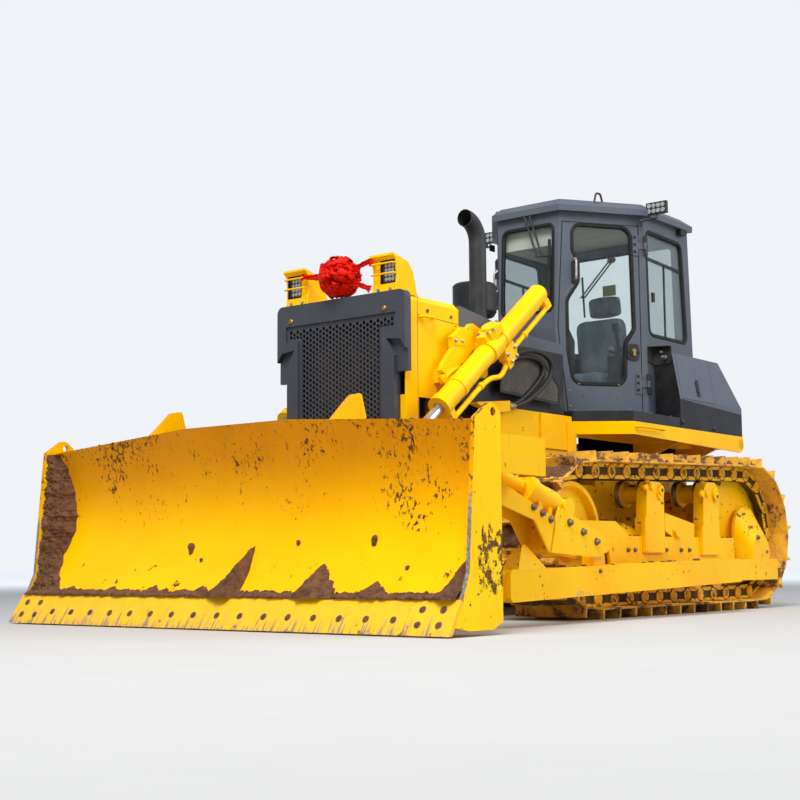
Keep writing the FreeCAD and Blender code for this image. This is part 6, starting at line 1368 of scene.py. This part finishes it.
def make_frame_parts():
    """Bolts and bands of the track frames, rollers, covers, arms and braces."""
    silver, yellow, dark, bands, soil = Piece(), Piece(), Piece(), Piece(), Piece()
    random.seed(3)
    for side in SIDES:
        out = OUT[side]
        for x, z in ((-352, 844), (-440, 848), (-1163, 825), (-1250, 828)):
            yellow.lathe([(0, 24), (16, 22), (20, 15)], point(x + 8, side * 1135, z), out, 18)
        for x, z in ((-550, 830), (-1375, 812)):
            yellow.lathe([(0, 34), (8, 34), (10, 26)], point(x, side * 1147, z), out, 20)
            dark.lathe([(0, 14), (13, 13)], point(x, side * 1147, z), out, 6)
        for x, y, z, size in ((-312, 1110, 599, 26), (-420, 1110, 599, 26), (-524, 1110, 599, 26),
                              (-1112, 1118, 640, 24), (-1240, 1118, 640, 24), (-1340, 1118, 640, 24)):
            silver.bolt(point(x, side * y, z), UP, size)
        for x in (-143, -235, -560, -660, -877, -1000):
            silver.bolt(point(x, side * 1112, 430), out, 26)
        for x in range(-1500, 100, 156):
            silver.bolt(point(x, side * 1112, 250), out, 24)
        silver.bolt(point(-1964, side * 1185, 525), out, 30)
        silver.bolt(point(-2120, side * 1180, 420), out, 26)
        yellow.slab([point(x, side * 1112, z) for x, z in ((-770, 556), (-858, 556), (-858, 516), (-800, 516))],
                    out * 22)
        for carrier in (-550, -1375):
            for y, radius in ((TRACK_Y + 84, 93.5), (TRACK_Y - 84, 93.5)):
                bands.lathe([(-19, radius - 1), (-18, radius), (18, radius), (19, radius - 1)],
                            point(carrier, side * y, CARRIER_HEIGHT[carrier]), out, 40)
        for k in range(16):
            x = random.uniform(-260, 20)
            soil.clod(point(x, side * random.uniform(850, 1040), 614 - (x + 120) * 0.02), random.uniform(14, 34),
                      random.uniform(0, 60))
        for k in range(22):
            soil.clod(point(random.uniform(-1700, -120), side * random.uniform(1080, 1100), 520),
                      random.uniform(8, 18), random.uniform(0, 60))
    silver.made("track_frame_bolts", "machine", "undercarriage", RUSTY_BOLT)
    yellow.made("track_frame_caps", "machine", "yellow_paint", FRAME_YELLOW, 1.5)
    dark.made("track_frame_dark_bolts", "machine", "cast_iron", IRON)
    bands.made("carrier_treads", "machine", "worn_steel", WORN_STEEL)
    soil.made("track_frame_soil", "machine", "undercarriage", SOIL_CAKE, sharp=60)

    arms, steel_bolts, lumps = Piece(), Piece(), Piece()
    out = OUT[1]
    for x, z in ((1412, 658), (1325, 627), (1238, 593)):
        steel_bolts.bolt(point(x, 1404, z), out, 34)
    for x, z in ((1039, 579), (892, 527), (743, 472)):
        steel_bolts.bolt(point(x, 1404, z), out, 36)
    for side in SIDES:
        steel_bolts.bolt(point(700, side * 1400, 300), OUT[side], 22)
        for k in range(18):
            x = random.uniform(-900, 1560)
            height = 314 + (1640 - x) / 2825 * 54
            lumps.clod(point(x, side * random.uniform(1255, 1385), height), random.uniform(8, 26),
                       random.uniform(0, 60), 0.5)
    steel_bolts.made("brace_bolts", "blade_group", "worn_steel", RUSTY_BOLT)
    lumps.made("arm_soil", "blade_group", "undercarriage", SOIL_CAKE, sharp=60)


carrier_low, carrier_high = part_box("carrier_rollers")
CARRIER_HEIGHT = {-1375: carrier_high[2] / MM - 92, -550: carrier_low[2] / MM + 92}
make_frame_parts()


# Blade: soil caked on its face, and the bolts of the cutting edges
FOOT = (2480.0, 178.0)
HOLLOW = (2206.0, 657.5)
TOP = (2340.0, 1145.0)


def circle_through(one, two, three):
    """Centre and radius of the circle through three places."""
    ax, ay = one
    bx, by = two
    cx, cy = three
    scale = 2 * (ax * (by - cy) + bx * (cy - ay) + cx * (ay - by))
    ux = ((ax * ax + ay * ay) * (by - cy) + (bx * bx + by * by) * (cy - ay)
          + (cx * cx + cy * cy) * (ay - by)) / scale
    uy = ((ax * ax + ay * ay) * (cx - bx) + (bx * bx + by * by) * (ax - cx)
          + (cx * cx + cy * cy) * (bx - ax)) / scale
    return ux, uy, math.hypot(ax - ux, ay - uy)


FACE_X, FACE_Z, FACE_R = circle_through(FOOT, HOLLOW, TOP)


def face_x(z):
    return FACE_X - math.sqrt(max(0.0, FACE_R ** 2 - (z - FACE_Z) ** 2))


# Heaps against the blade: middle, rise and how far each runs to the right and to the left
SOIL_PEAKS = [(-1290, 24, 70, 50), (-930, 22, 60, 90), (-560, 30, 60, 60), (-160, 26, 90, 50), (96, 246, 170, 62),
              (664, 150, 80, 190), (1085, 58, 60, 110), (1615, 188, 84, 66)]
CORNER_WIDTHS = [(178, 300), (240, 220), (296, 150), (409, 92), (587, 132), (773, 108), (870, 92), (1060, 44)]


def soil_height(y):
    """How far the soil above the cutting edge climbs the face."""
    height = 34 + 16 * noise.noise(Vector((y * 0.012, 3, 0))) + 12 * noise.noise(Vector((y * 0.05, 7, 0)))
    for middle, rise, right, left in SOIL_PEAKS:
        spread = right if y < middle else left
        slope = max(0.0, 1 - abs(y - middle) / spread)
        height += rise * slope ** 1.2 * (1 + 0.55 * noise.noise(Vector((y * 0.03, 1, 8))) * (1 - slope))
    return height + 6 * noise.noise(Vector((y * 0.16, 2, 5))) * min(height / 60, 2)


def rough_ground(place, size):
    """Bumps of soil, lumps with finer lumps on them."""
    coarse = abs(noise.noise(place * 0.014)) * 1.3
    medium = abs(noise.noise(place * 0.035 + Vector((3, 1, 7)))) * 0.8
    fine = noise.noise(place * 0.1) * 0.35
    return (coarse + medium + fine) * size


def plate_front(z):
    """The front edge of an end plate, as in the part."""
    if z < 303:
        return 2480 - 56 * (z - 178) / 125
    return 2424 - 60 * (z - 303) / 765


def corner_width(z):
    for (low, one), (high, two) in zip(CORNER_WIDTHS, CORNER_WIDTHS[1:]):
        if z <= high:
            break
    return one + (two - one) * (z - low) / (high - low)


def make_blade_soil():
    soil = Piece()
    rows = []
    across, up = 560, 20
    for column in range(across + 1):
        y = -1667 + 3334 * column / across
        rise = soil_height(y)
        ring = []
        for step in range(up + 1):
            share = step / up
            z = 176 + rise * share
            thick = (14 + 0.3 * rise) * math.sin(math.pi * min(1.0, share * 0.8 + 0.2)) ** 0.8 if step < up else 0
            place = point(face_x(z), y, z)
            ring.append(place + FORWARD * (thick + rough_ground(place, min(18, thick * 0.8)) + 0.6))
        rows.append(ring)
    soil.skin(rows, loop=False, caps=False)
    # the corner at the far end plate is packed with soil
    rows = []
    for step in range(150):
        z = 180 + 878 * step / 149
        width = corner_width(z) + 22 * noise.noise(Vector((z * 0.02, 2, 9))) + 9 * noise.noise(Vector((z * 0.08, 2, 9)))
        deep = plate_front(z) - face_x(z) - 10
        row = []
        for k in range(41):
            v = k / 40
            y = -1668 + width * v
            depth = deep * (1 - v ** 1.6) * 0.97
            place = point(face_x(z) + depth, y, z)
            bumpy = (rough_ground(place, 34) - 16) * min(1.0, 5 * (1 - v))
            if v < 0.25:
                bumpy = min(bumpy, 6 + 60 * v)
            row.append(point(face_x(z) + max(0.6, depth + bumpy), y, z))
        rows.append(row)
    soil.skin(rows, loop=False, caps=False)
    random.seed(8)
    for y, z, size in ((-420, 455, 24), (-412, 430, 16), (960, 480, 20), (962, 462, 17), (1240, 330, 13),
                       (-300, 380, 12), (420, 470, 14), (1330, 700, 9)):
        soil.clod(point(face_x(z) + 2, y, z), size, y, 1.2)
    for k in range(46):
        y = random.uniform(-1600, 1640)
        top = 1145 if abs(y) < 417 else 1145 - 77 * (abs(y) - 417) / 1252
        soil.clod(point(2300 - random.uniform(0, 40), y, top + 1), random.uniform(4, 13), y * 0.1, 0.5)
    for k in range(150):
        y = random.uniform(-1660, 1660)
        z = 178 + random.uniform(0.1, 1.0) * soil_height(y) * 0.9
        soil.clod(point(face_x(z) + 8, y, z), random.uniform(4, 13), k * 1.3, 0.9)
    soil.made("blade_soil", "blade_group", "undercarriage", SOIL_CAKE, sharp=60)


make_blade_soil()


def make_edge_bolts():
    """Plough bolts flush in the cutting edges, filled with soil."""
    bolts, rims = Piece(), Piece()
    lean = Vector((105, 0, -170)).normalized()
    out = Vector((170, 0, 105)).normalized()
    low = point(2600, 0, 8)

    def place(y, share):
        return low - lean * (share * 199.8) + point(0, y, 0)

    spots = []
    for side in SIDES:
        for k in range(8):
            spots.append((side * (92 + k * 176), 0.42))
        for y in (1482, 1610):
            spots += [(side * y, 0.3), (side * y, 0.72)]
    for y, share in spots:
        rims.lathe([(0, 21), (1.2, 20), (1.2, 15)], place(y, share), out, 20)
        bolts.lathe([(0, 15.5), (2.6, 14), (4, 8)], place(y, share), out, 16)
    rims.made("edge_bolt_rims", "blade_group", "worn_steel", RUSTY_BOLT)
    bolts.made("edge_bolt_soil", "blade_group", "worn_steel", SOIL_CAKE)


make_edge_bolts()


# Floor, light and background
def make_stage():
    paint = Paint("pale_floor")
    speck = paint.noise(3.0, 4.0)
    colour = paint.mix(speck.between(0.3, 0.7), tone(187, 186, 183), tone(185, 184, 181))
    away = paint.node("ShaderNodeVectorMath", {"operation": "LENGTH"}, {0: paint.here}, out="Value")
    far = away.between(8.0, 20.0)
    colour = paint.mix(far, colour, tone(240, 242, 244))
    glow = paint.mix(far, tone(0, 0, 0), tone(176, 179, 184))
    material = finish_paint(paint, Base_Color=colour, Roughness=0.85 + speck * 0.1, Emission_Color=glow,
                            Emission_Strength=1.0, Specular_IOR_Level=0.2)
    floor = Piece()
    floor.slab([point(-60000, -60000, -20), point(60000, -60000, -20), point(60000, 60000, -20),
                point(-60000, 60000, -20)], point(0, 0, 20))
    bmesh.ops.scale(floor.mesh, vec=(MM, MM, MM), verts=floor.mesh.verts)
    data = bpy.data.meshes.new("floor")
    floor.mesh.to_mesh(data)
    floor.mesh.free()
    data.materials.append(material)
    thing = bpy.data.objects.new("floor", data)
    bpy.context.scene.collection.objects.link(thing)


def make_light():
    world = bpy.data.worlds.new("sky")
    bpy.context.scene.world = world
    world.use_nodes = True
    tree = world.node_tree
    tree.nodes.clear()
    path = tree.nodes.new("ShaderNodeLightPath")
    pale = tree.nodes.new("ShaderNodeBackground")
    pale.inputs["Color"].default_value = tone(240, 243, 247)
    pale.inputs["Strength"].default_value = 1.0
    fill = tree.nodes.new("ShaderNodeBackground")
    fill.inputs["Color"].default_value = tone(232, 240, 255)
    fill.inputs["Strength"].default_value = 0.55
    either = tree.nodes.new("ShaderNodeMath")
    either.operation = "MAXIMUM"
    mix = tree.nodes.new("ShaderNodeMixShader")
    output = tree.nodes.new("ShaderNodeOutputWorld")
    tree.links.new(path.outputs["Is Camera Ray"], either.inputs[0])
    tree.links.new(path.outputs["Is Transmission Ray"], either.inputs[1])
    tree.links.new(either.outputs[0], mix.inputs[0])
    tree.links.new(fill.outputs[0], mix.inputs[1])
    tree.links.new(pale.outputs[0], mix.inputs[2])
    tree.links.new(mix.outputs[0], output.inputs[0])
    for name, spot, target, size, power in (
            ("key", (6.5, 3.0, 10.0), (0, 0, 1), 6.0, 1500.0),
            ("rim", (-5.0, 9.0, 7.5), (-0.5, 0, 1), 6.0, 650.0)):
        data = bpy.data.lights.new(name, "AREA")
        data.energy = power
        data.size = size
        lamp = bpy.data.objects.new(name, data)
        lamp.location = spot
        lamp.rotation_euler = (Vector(target) - Vector(spot)).to_track_quat("-Z", "Y").to_euler()
        bpy.context.scene.collection.objects.link(lamp)


make_stage()
make_light()
bpy.context.scene.view_settings.view_transform = "Standard"
